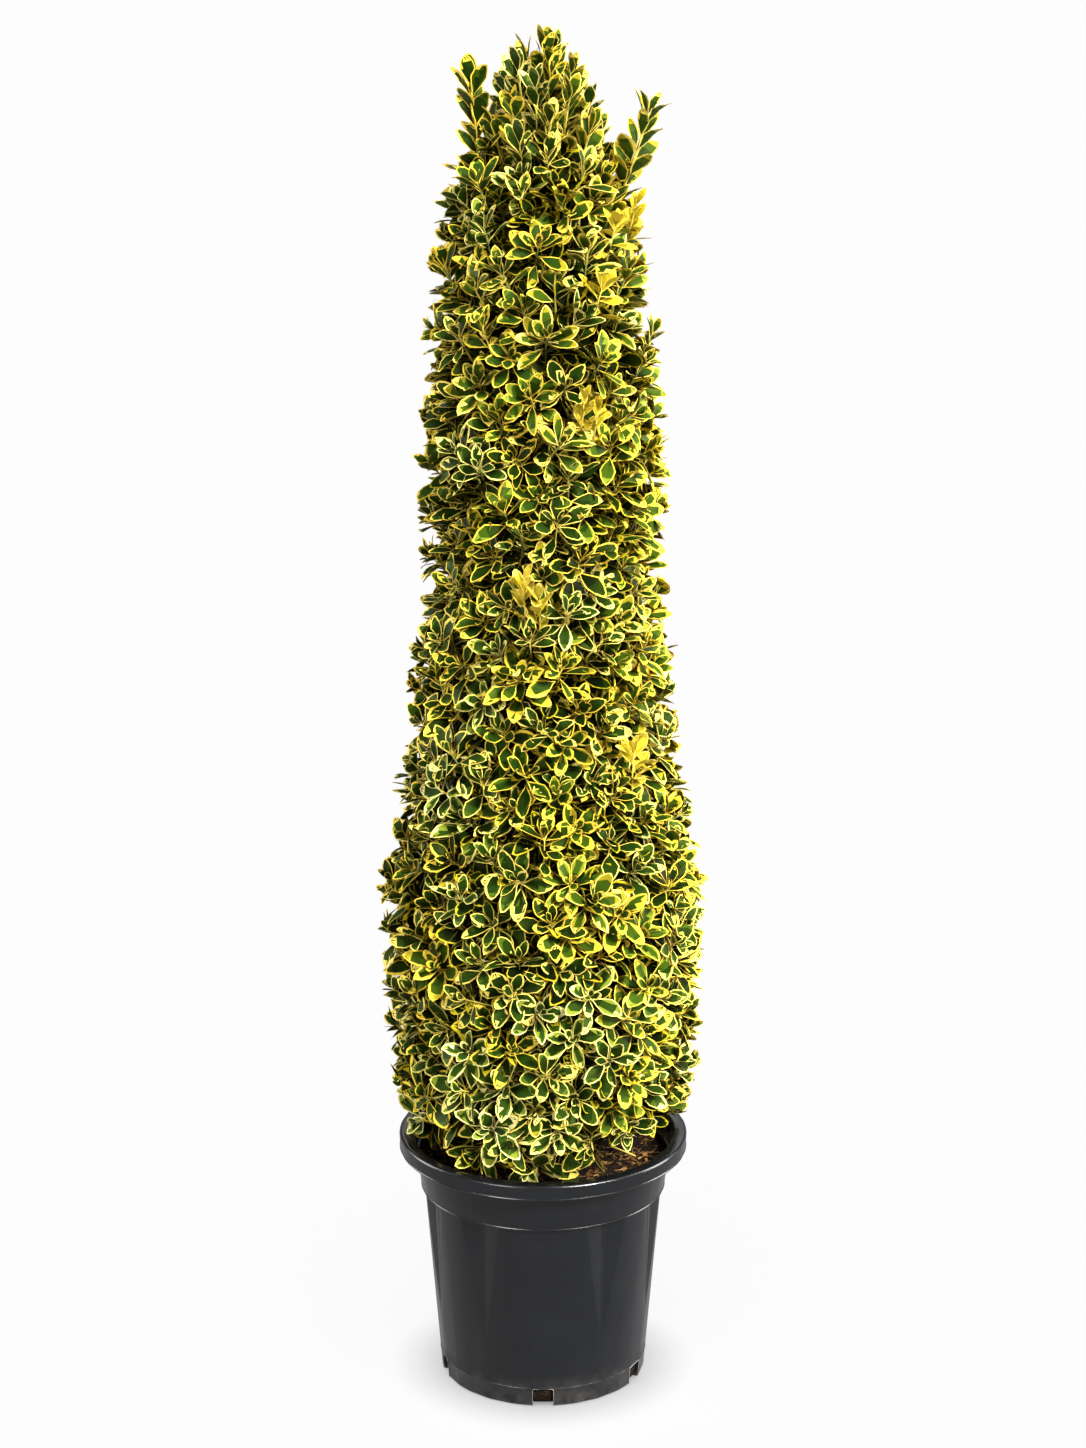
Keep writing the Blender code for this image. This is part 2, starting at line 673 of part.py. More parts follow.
class Foliage:
    """One mass of foliage while it grows: a core, and the twigs and leaves not yet joined to it."""

    def __init__(self, name, core, space, rng):
        self.name = name
        self.core = core
        self.space = space
        self.rng = rng
        self.pieces = bpy.data.collections.new(name + "_pieces")
        bpy.context.scene.collection.children.link(self.pieces)
        points = [vertex.co for vertex in core.data.vertices]
        faces = [tuple(face.vertices) for face in core.data.polygons]
        self.not_crossed = [BVHTree.FromPolygons(points, faces)]

    def add_limb(self, centres, radii, sides):
        """Adds a tapering limb through the given centres, closed at both ends."""
        points = []
        across = (centres[1] - centres[0]).orthogonal()
        for index, (centre, radius) in enumerate(zip(centres, radii)):
            ahead = centres[min(index + 1, len(centres) - 1)]
            along = (ahead - centres[max(index - 1, 0)]).normalized()
            across = (across - along * across.dot(along)).normalized()
            points += ring(centre, across, along.cross(across), radius, sides)
        add_object(self.name + "_limb", points, ring_faces(len(centres), sides), self.pieces)

    def add_leaf(self, root, along, face, length):
        """Adds a leaf and returns its search tree, or None where it would not keep to its room."""
        corners = leaf_corners(root, along, face, length)
        if not all(self.space.holds(corner) for corner in corners):
            return None
        tree = BVHTree.FromPolygons(corners, LEAF_FACES)
        if any(tree.overlap(other) for other in self.not_crossed):
            return None
        add_object(self.name + "_leaf", corners, LEAF_FACES, self.pieces)
        return tree

    def add_leaves(self, start, tip, pairs, scale):
        """Adds opposite pairs of leaves down a twig, each pair a quarter turn from the last.

        A leaf that would leave the mass's space, or cross the core or another twig's leaf, is turned
        a little, and skipped if no turn helps.
        """
        axis = (tip - start).normalized()
        side = axis.orthogonal().normalized()
        first_turn = self.rng.uniform(0, 360)
        grown = []
        for pair, (back, spread, size) in enumerate(pairs):
            for half_turn in (0, 180):
                for attempt in range(LEAF_TRIES):
                    turn_stray = LEAF_TURN_STRAY[0] + LEAF_TURN_STRAY[1] * attempt
                    lean_stray = LEAF_LEAN_STRAY[0] + LEAF_LEAN_STRAY[1] * attempt
                    turn = first_turn + 90 * pair + half_turn + self.rng.gauss(0, turn_stray)
                    lean = math.radians(spread + self.rng.gauss(0, lean_stray))
                    shrink = self.rng.uniform(*LEAF_SIZES) * (1 - LEAF_SHRINKAGE * attempt)
                    outward = side * math.cos(math.radians(turn))
                    outward += axis.cross(side) * math.sin(math.radians(turn))
                    along = axis * math.cos(lean) + outward * math.sin(lean)
                    face = axis * math.sin(lean) - outward * math.cos(lean)
                    root = tip - axis * back - along * LEAF_ROOT
                    leaf = self.add_leaf(root, along, face, LEAF_LENGTH * scale * size * shrink)
                    if leaf:
                        grown.append(leaf)
                        break
        self.not_crossed += grown

    def add_twig(self, start, tip, pairs, scale=1):
        """Adds one three-sided twig with its leaves."""
        self.add_limb([start, tip], [TWIG_BASE_RADIUS, TWIG_TIP_RADIUS], TWIG_SIDES)
        self.add_leaves(start, tip, pairs, scale)

    def join(self):
        """Joins the limbs and leaves to the core, and keeps the outer skin of the one body."""
        union = self.core.modifiers.new("join", "BOOLEAN")
        union.operation = "UNION"
        union.operand_type = "COLLECTION"
        union.collection = self.pieces
        graph = bpy.context.evaluated_depsgraph_get()
        joined = bpy.data.meshes.new_from_object(self.core.evaluated_get(graph))
        self.core.modifiers.clear()
        self.core.data = joined
        for piece in list(self.pieces.objects):
            bpy.data.objects.remove(piece)
        bpy.data.collections.remove(self.pieces)
        keep_outer_skin(self.core)
        dress(self.core, "leaves_" + self.name, VARIEGATED_LEAF)


def keep_outer_skin(obj):
    """Drops loose scraps and the walls of sealed hollows, leaving the largest run of joined faces."""
    shape = bmesh.new()
    shape.from_mesh(obj.data)
    left = set(shape.faces)
    bodies = []
    while left:
        body = [left.pop()]
        for face in body:
            beside = {near for edge in face.edges for near in edge.link_faces} & left
            left -= beside
            body += sorted(beside, key=lambda near: near.index)
        bodies.append(body)
    for body in sorted(bodies, key=len)[:-1]:
        bmesh.ops.delete(shape, geom=body, context="FACES")
    shape.to_mesh(obj.data)
    shape.free()


def make_tier_core(name, space, rng):
    """The dense inside of a tier's mass: a rippled block from the clear shaft to under the outline."""
    widest = space.half - CORE_EDGE
    points = []
    for row in range(CORE_ROWS):
        share = CORE_END + (1 - 2 * CORE_END) * row / (CORE_ROWS - 1)
        offsets = [widest * (2 * column / (CORE_COLUMNS - 1) - 1) for column in range(CORE_COLUMNS)]
        for offset in offsets:
            edge = max(abs(offset) / space.half, abs(2 * share - 1))
            depth = CORE_DEPTH + CORE_EDGE_DEPTH * edge**3 + rng.uniform(0, CORE_RIPPLE)
            points.append(space.under(space.azimuth + offset, share, depth))
        for offset in reversed(offsets):
            points.append(space.place(space.azimuth + offset, share, clear_shaft))
    sides = 2 * CORE_COLUMNS
    faces = ring_faces(CORE_ROWS, sides)[1:-1]
    for column in range(CORE_COLUMNS - 1):
        bottom = (column, column + 1, sides - 2 - column, sides - 1 - column)
        faces.append(bottom[::-1])
        faces.append(tuple(index + (CORE_ROWS - 1) * sides for index in bottom))
    core = add_object(name, points, faces)
    face_outward(core)
    return core


def make_tier_mass(tier, number, rng):
    """One mass of a tier with its bough: a core, a stem that meets the bough, twigs and leaves."""
    name = f"{TIERS[tier][0]}_{number + 1}"
    space = TierSpace(tier, number)
    low, high = (space.place(space.azimuth, share, clear_shaft).z for share in (0, 1))
    spread = rng.uniform(-BOUGH_ENTRY_SPREAD, BOUGH_ENTRY_SPREAD)
    entry = max(low + (high - low) * BOUGH_ENTRY + spread, BOUGH_LOWEST)
    tip, along, radius = make_bough("bough_" + name, space.azimuth, entry)
    foliage = Foliage(name, make_tier_core("foliage_" + name, space, rng), space, rng)
    stem = [tip + along * GAP, tip + along * STEM_LEAD]
    stem += [space.under(space.azimuth, share, STEM_DEPTH) for share in STEM_SHARES]
    foliage.add_limb(stem, [radius * taper for taper in STEM_TAPERS], STEM_SIDES)
    for twig_tip in filter(space.claims, twig_tips()):
        start = space.fork(twig_tip, TWIG_RISE * rng.uniform(*TWIG_RISE_SHARES))
        foliage.add_twig(start, twig_tip, LEAF_PAIRS)
    add_tall_shoots(foliage)
    foliage.join()


def add_tall_shoots(foliage):
    """Adds a mass's shoots that stand above the rest, each bent upright at a knee."""
    space = foliage.space
    foliage.space = TallShootSpace(space)
    for mass, foot, tip, pairs in TALL_SHOOTS:
        if mass == foliage.name:
            foot, tip = Vector(foot), Vector(tip)
            knee = foot.lerp(tip, TALL_SHOOT_OUTWARD)
            knee.z = foot.z + TALL_SHOOT_KNEE
            foliage.add_limb([foot, knee, tip], [TWIG_BASE_RADIUS] * 2 + [TWIG_TIP_RADIUS], TWIG_SIDES)
            foliage.add_leaves(knee, tip, shoot_pairs(pairs, (tip - knee).length), SHOOT_LEAF)
    foliage.space = space


def make_crest_core(name, rng):
    """The crest's core: a rippled round body that widens over the last tier and closes to a point."""
    points = []
    for height, radius in CREST_CORE:
        for side in range(CREST_CORE_SIDES):
            ripple = 1 + rng.uniform(-CREST_CORE_RIPPLE, CREST_CORE_RIPPLE)
            points.append(around(360 * side / CREST_CORE_SIDES) * radius * ripple)
            points[-1].z = height
    return add_object(name, points, ring_faces(len(CREST_CORE), CREST_CORE_SIDES))


def make_crest(rng):
    """The crest, with its stem on the trunk's tip, upright shoots, and twigs round its foot."""
    foliage = Foliage("crest", make_crest_core("foliage_crest", rng), CrestSpace(), rng)
    tip = trunk_centre(TRUNK_TIP)
    heart = Vector((0, 0, CREST_CORE[2][0]))
    stem = [tip + Vector((0, 0, GAP)), tip + Vector((0, 0, STEM_LEAD)), heart]
    foliage.add_limb(stem, [TRUNK_TIP_RADIUS, TRUNK_TIP_RADIUS, TWIG_TIP_RADIUS], STEM_SIDES)
    for index in range(CREST_SHOOTS):
        share = index / (CREST_SHOOTS - 1)
        outward = around(CREST_SHOOT_AZIMUTH + GOLDEN_ANGLE * (index - 1))
        shoot_tip = outward * CREST_SHOOT_SPREAD * math.sqrt(share)
        shoot_tip.z = CREST_SHOOT_TOP - CREST_SHOOT_FALL * share
        foot = shoot_tip * CREST_SHOOT_GATHER
        foot.z = shoot_tip.z - CREST_SHOOT_LENGTH
        foliage.add_twig(foot, shoot_tip, shoot_pairs(CREST_SHOOT_PAIRS, CREST_SHOOT_LENGTH / 2), SHOOT_LEAF)
    for twig_tip in filter(foliage.space.claims, twig_tips()):
        start = Vector((0, 0, min(twig_tip.z, heart.z + TWIG_RISE) - TWIG_RISE / 2))
        foliage.add_twig(start, twig_tip, LEAF_PAIRS, SHOOT_LEAF)
    foliage.join()


def main():
    """Builds the pot, the soil, the trunk, and the boughs and foliage from the lowest tier up."""
    clear_scene()
    make_pot()
    make_soil()
    make_trunk()
    for tier, (_, count, _, _) in enumerate(TIERS):
        for number in range(count):
            make_tier_mass(tier, number, random.Random(SEED + 10 * tier + number))
    make_crest(random.Random(SEED + 10 * len(TIERS)))


main()
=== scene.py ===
"""The looks of a variegated Japanese spindle grown as a tall dense column in a black nursery pot.

Lengths are in metres and angles in degrees. +Z is up, the plant's front faces -Y, and azimuths are
counted from the front towards +X. The plant grows by the rule of its solids, carried on to finer
twigs and to leaves at life size.
"""

import json
import logging
import math
import random
from collections.abc import Callable, Sequence
from dataclasses import dataclass, field
from enum import Enum

import bpy
import numpy as np
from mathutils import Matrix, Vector

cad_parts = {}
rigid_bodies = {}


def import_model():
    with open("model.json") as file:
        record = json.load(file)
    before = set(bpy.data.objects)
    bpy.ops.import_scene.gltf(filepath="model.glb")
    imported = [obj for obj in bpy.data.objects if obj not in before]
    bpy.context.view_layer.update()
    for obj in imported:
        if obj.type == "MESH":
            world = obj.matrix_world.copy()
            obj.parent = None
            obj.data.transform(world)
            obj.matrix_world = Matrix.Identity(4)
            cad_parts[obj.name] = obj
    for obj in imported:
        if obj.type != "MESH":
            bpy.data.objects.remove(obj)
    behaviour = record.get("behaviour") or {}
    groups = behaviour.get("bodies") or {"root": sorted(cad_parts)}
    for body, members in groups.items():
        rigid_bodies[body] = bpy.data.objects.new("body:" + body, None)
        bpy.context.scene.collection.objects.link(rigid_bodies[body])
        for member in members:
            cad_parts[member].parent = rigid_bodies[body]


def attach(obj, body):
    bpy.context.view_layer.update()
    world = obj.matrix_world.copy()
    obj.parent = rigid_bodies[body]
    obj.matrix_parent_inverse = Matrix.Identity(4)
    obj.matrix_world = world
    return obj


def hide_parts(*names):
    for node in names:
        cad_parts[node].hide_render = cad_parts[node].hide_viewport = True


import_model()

LOG = logging.getLogger("spindle")
GOLDEN_ANGLE = 137.508
ARC_STEPS = 4
FORMS = 14
FORM_SEED = 3
UP = Vector((0, 0, 1))
BLADE_MAP = "blade"

# Indices of a mix node's two inputs and its result, by the kind of what it mixes
MIX_SOCKETS = {"FLOAT": (2, 3, 0), "RGBA": (6, 7, 2)}

Table = Sequence[tuple[float, float]]
Colour = tuple[float, float, float]
Socket = bpy.types.NodeSocket
Material = bpy.types.Material
NodeTree = bpy.types.NodeTree
Skins = Sequence[Material]


# Small helpers


def clamped(value: float, low: float = 0.0, high: float = 1.0) -> float:
    """Returns a value kept between two limits."""
    return min(max(value, low), high)


def eased(table: Table, height: float) -> float:
    """Reads a table with eased steps between its rows.

    Args:
        table: Rows of (height, value), from the lowest up.
        height: Where to read it.

    Returns:
        The value there, or that of the nearest end.
    """
    if height <= table[0][0]:
        return table[0][1]
    for (low, first), (high, second) in zip(table, table[1:]):
        if height <= high:
            share = (height - low) / (high - low)
            return first + (second - first) * share * share * (3 - 2 * share)
    return table[-1][1]


def around(azimuth: float) -> Vector:
    """Returns the level unit vector at an azimuth."""
    angle = math.radians(azimuth)
    return Vector((math.sin(angle), -math.cos(angle), 0))


def towards(azimuth: float, elevation: float) -> Vector:
    """Returns the unit vector at an azimuth and an elevation."""
    tilt = math.radians(elevation)
    return around(azimuth) * math.cos(tilt) + UP * math.sin(tilt)


def quarter_on(way: Vector) -> Vector:
    """Returns a level vector turned on by a quarter."""
    return Vector((-way.y, way.x, 0))


def azimuth_of(point: Vector) -> float:
    """Returns the azimuth of a point."""
    return math.degrees(math.atan2(point.x, -point.y))


def bent(start: Vector, bend: Vector, end: Vector, steps: int) -> list[Vector]:
    """Returns the points of a limb that bends on its way, in a number of steps, both ends among them."""
    shares = [step / steps for step in range(steps + 1)]
    return [start.lerp(bend, share).lerp(bend.lerp(end, share), share) for share in shares]


def arc(centre: tuple[float, float], radius: float, start: float, end: float) -> list[tuple[float, float]]:
    """Returns points of a rounded edge from the start angle to the end angle, both among them."""
    angles = [math.radians(start + (end - start) * step / ARC_STEPS) for step in range(ARC_STEPS + 1)]
    return [(centre[0] + radius * math.cos(angle), centre[1] + radius * math.sin(angle)) for angle in angles]


class MeshStock:
    """Points and faces of one piece while it is made."""

    def __init__(self, name: str) -> None:
        """Starts an empty piece.

        Args:
            name: Its name.
        """
        self.name = name
        self.points: list[np.ndarray] = []
        self.corners: list[np.ndarray] = []
        self.counts: list[np.ndarray] = []
        self.slots: list[np.ndarray] = []
        self.marks: list[np.ndarray] = []
        self.total = 0

    def add_points(self, points: np.ndarray, marks: np.ndarray | None = None) -> int:
        """Adds points.

        Args:
            points: Rows of x, y and z.
            marks: Rows of their map coordinates.

        Returns:
            Index of the first of them.
        """
        self.points.append(points)
        self.marks.append(np.zeros((len(points), 2)) if marks is None else marks)
        self.total += len(points)
        return self.total - len(points)

    def add_faces(self, faces: np.ndarray, slots: np.ndarray | int = 0) -> None:
        """Adds faces of one number of corners.

        Args:
            faces: Rows of indices into all the points.
            slots: Material slot of each face, or of all of them.
        """
        self.corners.append(faces.reshape(-1))
        self.counts.append(np.full(len(faces), faces.shape[1], np.int32))
        self.slots.append(np.broadcast_to(slots, len(faces)).astype(np.int32))

    def add_rings(self, rings: Sequence[np.ndarray], slot: int = 0, closed: bool = True) -> None:
        """Joins rings of points, all of one number, into a wall.

        Args:
            rings: Rows of x, y and z of each ring, turning left seen against the wall's course.
            slot: Material slot.
            closed: Whether a flat face closes each end.
        """
        count = len(rings[0])
        first = self.add_points(np.concatenate(rings))
        starts = first + np.arange(len(rings))[:, None] * count
        this = (starts[:-1] + np.arange(count)).reshape(-1)
        beside = (starts[:-1] + np.roll(np.arange(count), -1)).reshape(-1)
        self.add_faces(np.stack([this, beside, beside + count, this + count], axis=1), slot)
        if closed:
            ends = (starts[0] + np.arange(count)[::-1], starts[-1] + np.arange(count))
            self.add_faces(np.stack(ends), slot)

    def add_fan(self, centre: tuple[float, float, float], first: int, count: int, rising: bool) -> None:
        """Closes a ring by triangles to a new point in its middle.

        Args:
            centre: The new point.
            first: Index of the ring's first point.
            count: Number of the ring's points.
            rising: Whether the triangles look up rather than down.
        """
        ring = first + np.arange(count)
        sides = (ring, np.roll(ring, -1)) if rising else (np.roll(ring, -1), ring)
        hub = self.add_points(np.array([centre]))
        self.add_faces(np.stack([np.full(count, hub), *sides], axis=1))

    def add_tube(self, centres: Sequence[Vector], radii: Sequence[float], sides: int, slot: int = 0) -> None:
        """Adds a tapering round limb, closed at both ends.

        Args:
            centres: Points of its axis.
            radii: Its radius at each of them.
            sides: Number of sides.
            slot: Material slot.
        """
        line = np.array(centres, float)
        ahead = np.gradient(line, axis=0)
        ahead /= np.linalg.norm(ahead, axis=1, keepdims=True)
        across = np.array(Vector(ahead[0]).orthogonal().normalized(), float)
        turns = 2 * np.pi * np.arange(sides) / sides
        rings = []
        for centre, along, radius in zip(line, ahead, radii):
            across = across - along * across.dot(along)
            across /= np.linalg.norm(across)
            over = np.cross(along, across)
            rings.append(centre + radius * (np.outer(np.cos(turns), across) + np.outer(np.sin(turns), over)))
        self.add_rings(rings, slot)

    def make(self, finishes: Skins, sharp: float | None = None) -> bpy.types.Object:
        """Makes the piece's object.

        Args:
            finishes: Materials of its slots.
            sharp: Angle over which its edges stay sharp, or None for all of them smooth.

        Returns:
            The object, in the scene.
        """
        mesh = bpy.data.meshes.new(self.name)
        points = np.concatenate(self.points).astype(np.float32)
        corners = np.concatenate(self.corners).astype(np.int32)
        counts = np.concatenate(self.counts)
        starts = np.concatenate([[0], np.cumsum(counts)[:-1]]).astype(np.int32)
        mesh.vertices.add(len(points))
        mesh.vertices.foreach_set("co", points.reshape(-1))
        mesh.loops.add(len(corners))
        mesh.loops.foreach_set("vertex_index", corners)
        mesh.polygons.add(len(counts))
        mesh.polygons.foreach_set("loop_start", starts)
        mesh.polygons.foreach_set("material_index", np.concatenate(self.slots))
        mesh.update(calc_edges=True)
        marks = np.concatenate(self.marks)
        if marks.any():
            layer = mesh.uv_layers.new(name=BLADE_MAP)
            layer.data.foreach_set("uv", marks[corners].astype(np.float32).reshape(-1))
        mesh.validate()
        for finish in finishes:
            mesh.materials.append(finish)
        mesh.shade_smooth()
        if sharp is not None:
            mesh.set_sharp_from_angle(angle=math.radians(sharp))
        obj = bpy.data.objects.new(self.name, mesh)
        bpy.context.scene.collection.objects.link(obj)
        return obj


def settle(piece: bpy.types.Object, slot: str, *nodes: str) -> None:
    """Rides a piece on the plant's one body and hides the solids that it stands for.

    Args:
        piece: The piece.
        slot: Not used.
        *nodes: The solids that it replaces.
    """
    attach(piece, "root")
    if nodes:
        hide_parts(*nodes)
    LOG.info("%s: %d faces", piece.name, len(piece.data.polygons))


# Finishes


class Board:
    """A node tree while its nodes are laid out."""

    def __init__(self, tree: NodeTree) -> None:
        """Takes the tree that the nodes go into."""
        self.tree = tree

    def add(self, kind: str, inputs: dict[str | int, object], **settings: object) -> bpy.types.Node:
        """Adds a node.

        Args:
            kind: Its kind.
            inputs: A value, or the socket that feeds it, for each input that is set.
            **settings: Its settings.

        Returns:
            The node.
        """
        node = self.tree.nodes.new(kind)
        for name, setting in settings.items():
            setattr(node, name, setting)
        for name, source in inputs.items():
            if isinstance(source, Socket):
                self.tree.links.new(source, node.inputs[name])
            else:
                node.inputs[name].default_value = source
        return node


class GroupBoard(Board):
    """A node group of number sockets while it is laid out."""

    def __init__(self, name: str, inputs: dict[str, float]) -> None:
        """Starts the group.

        Args:
            name: Its name.
            inputs: Names and usual values of its inputs.
        """
        super().__init__(bpy.data.node_groups.new(name, "ShaderNodeTree"))
        for label, value in inputs.items():
            socket = self.tree.interface.new_socket(label, in_out="INPUT", socket_type="NodeSocketFloat")
            socket.default_value = value
        self.given = self.tree.nodes.new("NodeGroupInput").outputs if inputs else {}

    def math(self, operation: str, *values: float | Socket) -> Socket:
        """Returns the result of a math node on numbers or sockets."""
        return self.add("ShaderNodeMath", dict(enumerate(values)), operation=operation).outputs["Value"]

    def map_range(self, value: Socket, **limits: float | Socket) -> Socket:
        """Returns a value mapped between limits, which are named with underscores for spaces."""
        inputs = {label.replace("_", " "): limit for label, limit in limits.items()}
        return self.add("ShaderNodeMapRange", {"Value": value, **inputs}).outputs["Result"]

    def noise(self, place: Socket, scale: Socket, detail: float, **settings: float) -> Socket:
        """Returns a noise of a scale and detail over a place, with its other inputs as given."""
        inputs = {"Vector": place, "Scale": scale, "Detail": detail, **settings}
        return self.add("ShaderNodeTexNoise", inputs).outputs["Fac"]

    def finish(self, output: str, source: Socket) -> NodeTree:
        """Ends the group.

        Args:
            output: Name of its one output.
            source: What feeds it.

        Returns:
            The group.
        """
        self.tree.interface.new_socket(output, in_out="OUTPUT", socket_type="NodeSocketFloat")
        self.tree.links.new(source, self.tree.nodes.new("NodeGroupOutput").inputs[output])
        return self.tree


class Effects:
    """Surface effects that several finishes share, each one a node group built once."""

    side_veins: float = 9.0
    vein_slant: float = 0.9
    midrib: float = 0.06
    midrib_depth: float = 3.0

    def __init__(self) -> None:
        """Builds the groups."""
        self.grain = self._grain()
        self.veil = self._veil()
        self.blotch = self._blotch()
        self.veins = self._veins()

    @staticmethod
    def _grain() -> NodeTree:
        """Builds the grain group.

        Returns:
            The group, which gives the height of fine grain over broader waves.
        """
        board = GroupBoard("fine_grain", {"Fine Scale": 900.0, "Broad Scale": 60.0, "Broad Share": 0.4})
        place = board.add("ShaderNodeTexCoord", {}).outputs["Object"]
        fine = board.noise(place, board.given["Fine Scale"], 3)
        broad = board.noise(place, board.given["Broad Scale"], 2)
        mix = board.add("ShaderNodeMix", {"Factor": board.given["Broad Share"], "A": fine, "B": broad})
        return board.finish("Height", mix.outputs["Result"])

    @staticmethod
    def _veil() -> NodeTree:
        """Builds the dust group.

        Returns:
            The group, which gives a patchy mask that is full below one height and clear above another.
        """
        board = GroupBoard("dust_veil", {"Full Below": 0.0, "Clear Above": 0.1, "Patch Scale": 30.0})
        given = board.given
        place = board.add("ShaderNodeTexCoord", {}).outputs["Object"]
        height = board.add("ShaderNodeSeparateXYZ", {"Vector": place}).outputs["Z"]
        limits = {"From_Min": given["Full Below"], "From_Max": given["Clear Above"]}
        fall = board.map_range(height, **limits, To_Min=1, To_Max=0)
        patches = board.noise(place, given["Patch Scale"], 6, Roughness=0.65)
        spread = board.map_range(patches, From_Min=0.38, From_Max=0.72)
        return board.finish("Mask", board.math("MULTIPLY", fall, spread))

    @staticmethod
    def _blotch() -> NodeTree:
        """Builds the blotch group.

        Returns:
            The group, which gives a mask of patches that cover about a given share.
        """
        board = GroupBoard("blotches", {"Scale": 20.0, "Cover": 0.5, "Softness": 0.1})
        place = board.add("ShaderNodeTexCoord", {}).outputs["Object"]
        noise = board.noise(place, board.given["Scale"], 5)
        low = board.math("SUBTRACT", 1, board.given["Cover"])
        high = board.math("ADD", low, board.given["Softness"])
        return board.finish("Mask", board.map_range(noise, From_Min=low, From_Max=high))

    def _veins(self) -> NodeTree:
        """Builds the vein group.

        Returns:
            The group, which gives the height of a midrib and of side veins slanting forward from it.
        """
        board = GroupBoard("leaf_veins", {})
        blade = board.add("ShaderNodeUVMap", {}, uv_map=BLADE_MAP).outputs["UV"]
        split = board.add("ShaderNodeSeparateXYZ", {"Vector": blade}).outputs
        aside = board.math("ABSOLUTE", split["X"])
        slant = board.math("MULTIPLY_ADD", aside, -self.vein_slant, split["Y"])
        wave = board.math("SINE", board.math("MULTIPLY", slant, 2 * math.pi * self.side_veins))
        rib = board.map_range(aside, From_Max=self.midrib, To_Min=-self.midrib_depth, To_Max=0)
        return board.finish("Height", board.math("ADD", wave, rib))


class Bench(Board):
    """A material on the bench: its shader and the nodes that feed it."""

    def __init__(self, name: str, colour: Colour, roughness: float, shine: float = 0.5) -> None:
        """Starts a material.

        Args:
            name: Its name.
            colour: Its plain colour.
            roughness: Its plain roughness.
            shine: How strongly it mirrors.
        """
        self.material = bpy.data.materials.new(name)
        self.material.use_nodes = True
        self.material.diffuse_color = (*colour, 1)
        super().__init__(self.material.node_tree)
        self.shader = self.tree.nodes["Principled BSDF"]
        self.shader.inputs["Base Color"].default_value = (*colour, 1)
        self.shader.inputs["Roughness"].default_value = roughness
        self.shader.inputs["Specular IOR Level"].default_value = shine

    def effect(self, group: NodeTree, **values: float) -> Socket:
        """Returns the output of a shared effect, whose inputs are named with underscores for spaces."""
        inputs = {label.replace("_", " "): value for label, value in values.items()}
        return self.add("ShaderNodeGroup", inputs, node_tree=group).outputs[0]

    def blend(self, mask: Socket, first: float | Colour | Socket, second: float | Colour | Socket) -> Socket:
        """Mixes two colours, or two numbers, by a mask.

        Args:
            mask: Share of the second.
            first: A colour, number or socket.
            second: A like one.

        Returns:
            The mixed socket.
        """
        kind = "FLOAT" if isinstance(second, float) else "RGBA"
        *sockets, result = MIX_SOCKETS[kind]
        inputs: dict[str | int, object] = {0: mask}
        for index, value in zip(sockets, (first, second)):
            inputs[index] = (*value, 1) if isinstance(value, tuple) else value
        return self.add("ShaderNodeMix", inputs, data_type=kind).outputs[result]

    def feed(self, name: str, source: Socket) -> None:
        """Links a socket to one of the shader's inputs."""
        self.tree.links.new(source, self.shader.inputs[name])

    def raise_surface(self, height: Socket, depth: float, strength: float = 1.0) -> None:
        """Feeds a height to the shader's normal, with its relief's depth and the share that shows."""
        inputs = {"Strength": strength, "Distance": depth, "Height": height}
        self.feed("Normal", self.add("ShaderNodeBump", inputs).outputs["Normal"])


@dataclass(frozen=True)
class PlasticFinish:
    """Black recycled plastic, satin, with fine grain, faint cloudiness and dust towards the foot."""

    name: str = "pot_plastic"
    colour: Colour = (0.0026, 0.0029, 0.0036)
    cloud: Colour = (0.0048, 0.0052, 0.0062)
    dust: Colour = (0.034, 0.031, 0.027)
    roughness: float = 0.24
    worn_roughness: float = 0.34
    dusty_roughness: float = 0.62
    dust_height: float = 0.045

    def make(self, effects: Effects) -> Material:
        """Makes the material.

        Args:
            effects: The shared effects.

        Returns:
            The material.
        """
        bench = Bench(self.name, self.colour, self.roughness)
        clouds = bench.effect(effects.blotch, Scale=14.0, Cover=0.52, Softness=0.3)
        dust = bench.effect(effects.veil, Full_Below=0.0, Clear_Above=self.dust_height, Patch_Scale=42.0)
        scuffs = bench.effect(effects.blotch, Scale=210.0, Cover=0.34, Softness=0.06)
        base = bench.blend(clouds, self.colour, self.cloud)
        bench.feed("Base Color", bench.blend(dust, base, self.dust))
        worn = bench.blend(scuffs, self.roughness, self.worn_roughness)
        bench.feed("Roughness", bench.blend(dust, worn, self.dusty_roughness))
        height = bench.effect(effects.grain, Fine_Scale=1400.0, Broad_Scale=55.0, Broad_Share=0.55)
        bench.raise_surface(height, depth=0.0004, strength=0.35)
        return bench.material


@dataclass(frozen=True)
class FlashFinish:
    """Thin pale flash of the same plastic along the cut edges of the drain notches."""

    name: str = "pot_flash"
    colour: Colour = (0.20, 0.195, 0.185)
    soiled: Colour = (0.09, 0.085, 0.08)

    def make(self, effects: Effects) -> Material:
        """Makes the material.

        Args:
            effects: The shared effects.

        Returns:
            The material.
        """
        bench = Bench(self.name, self.colour, 0.5)
        soil = bench.effect(effects.blotch, Scale=300.0, Cover=0.5, Softness=0.2)
        bench.feed("Base Color", bench.blend(soil, self.colour, self.soiled))
        return bench.material


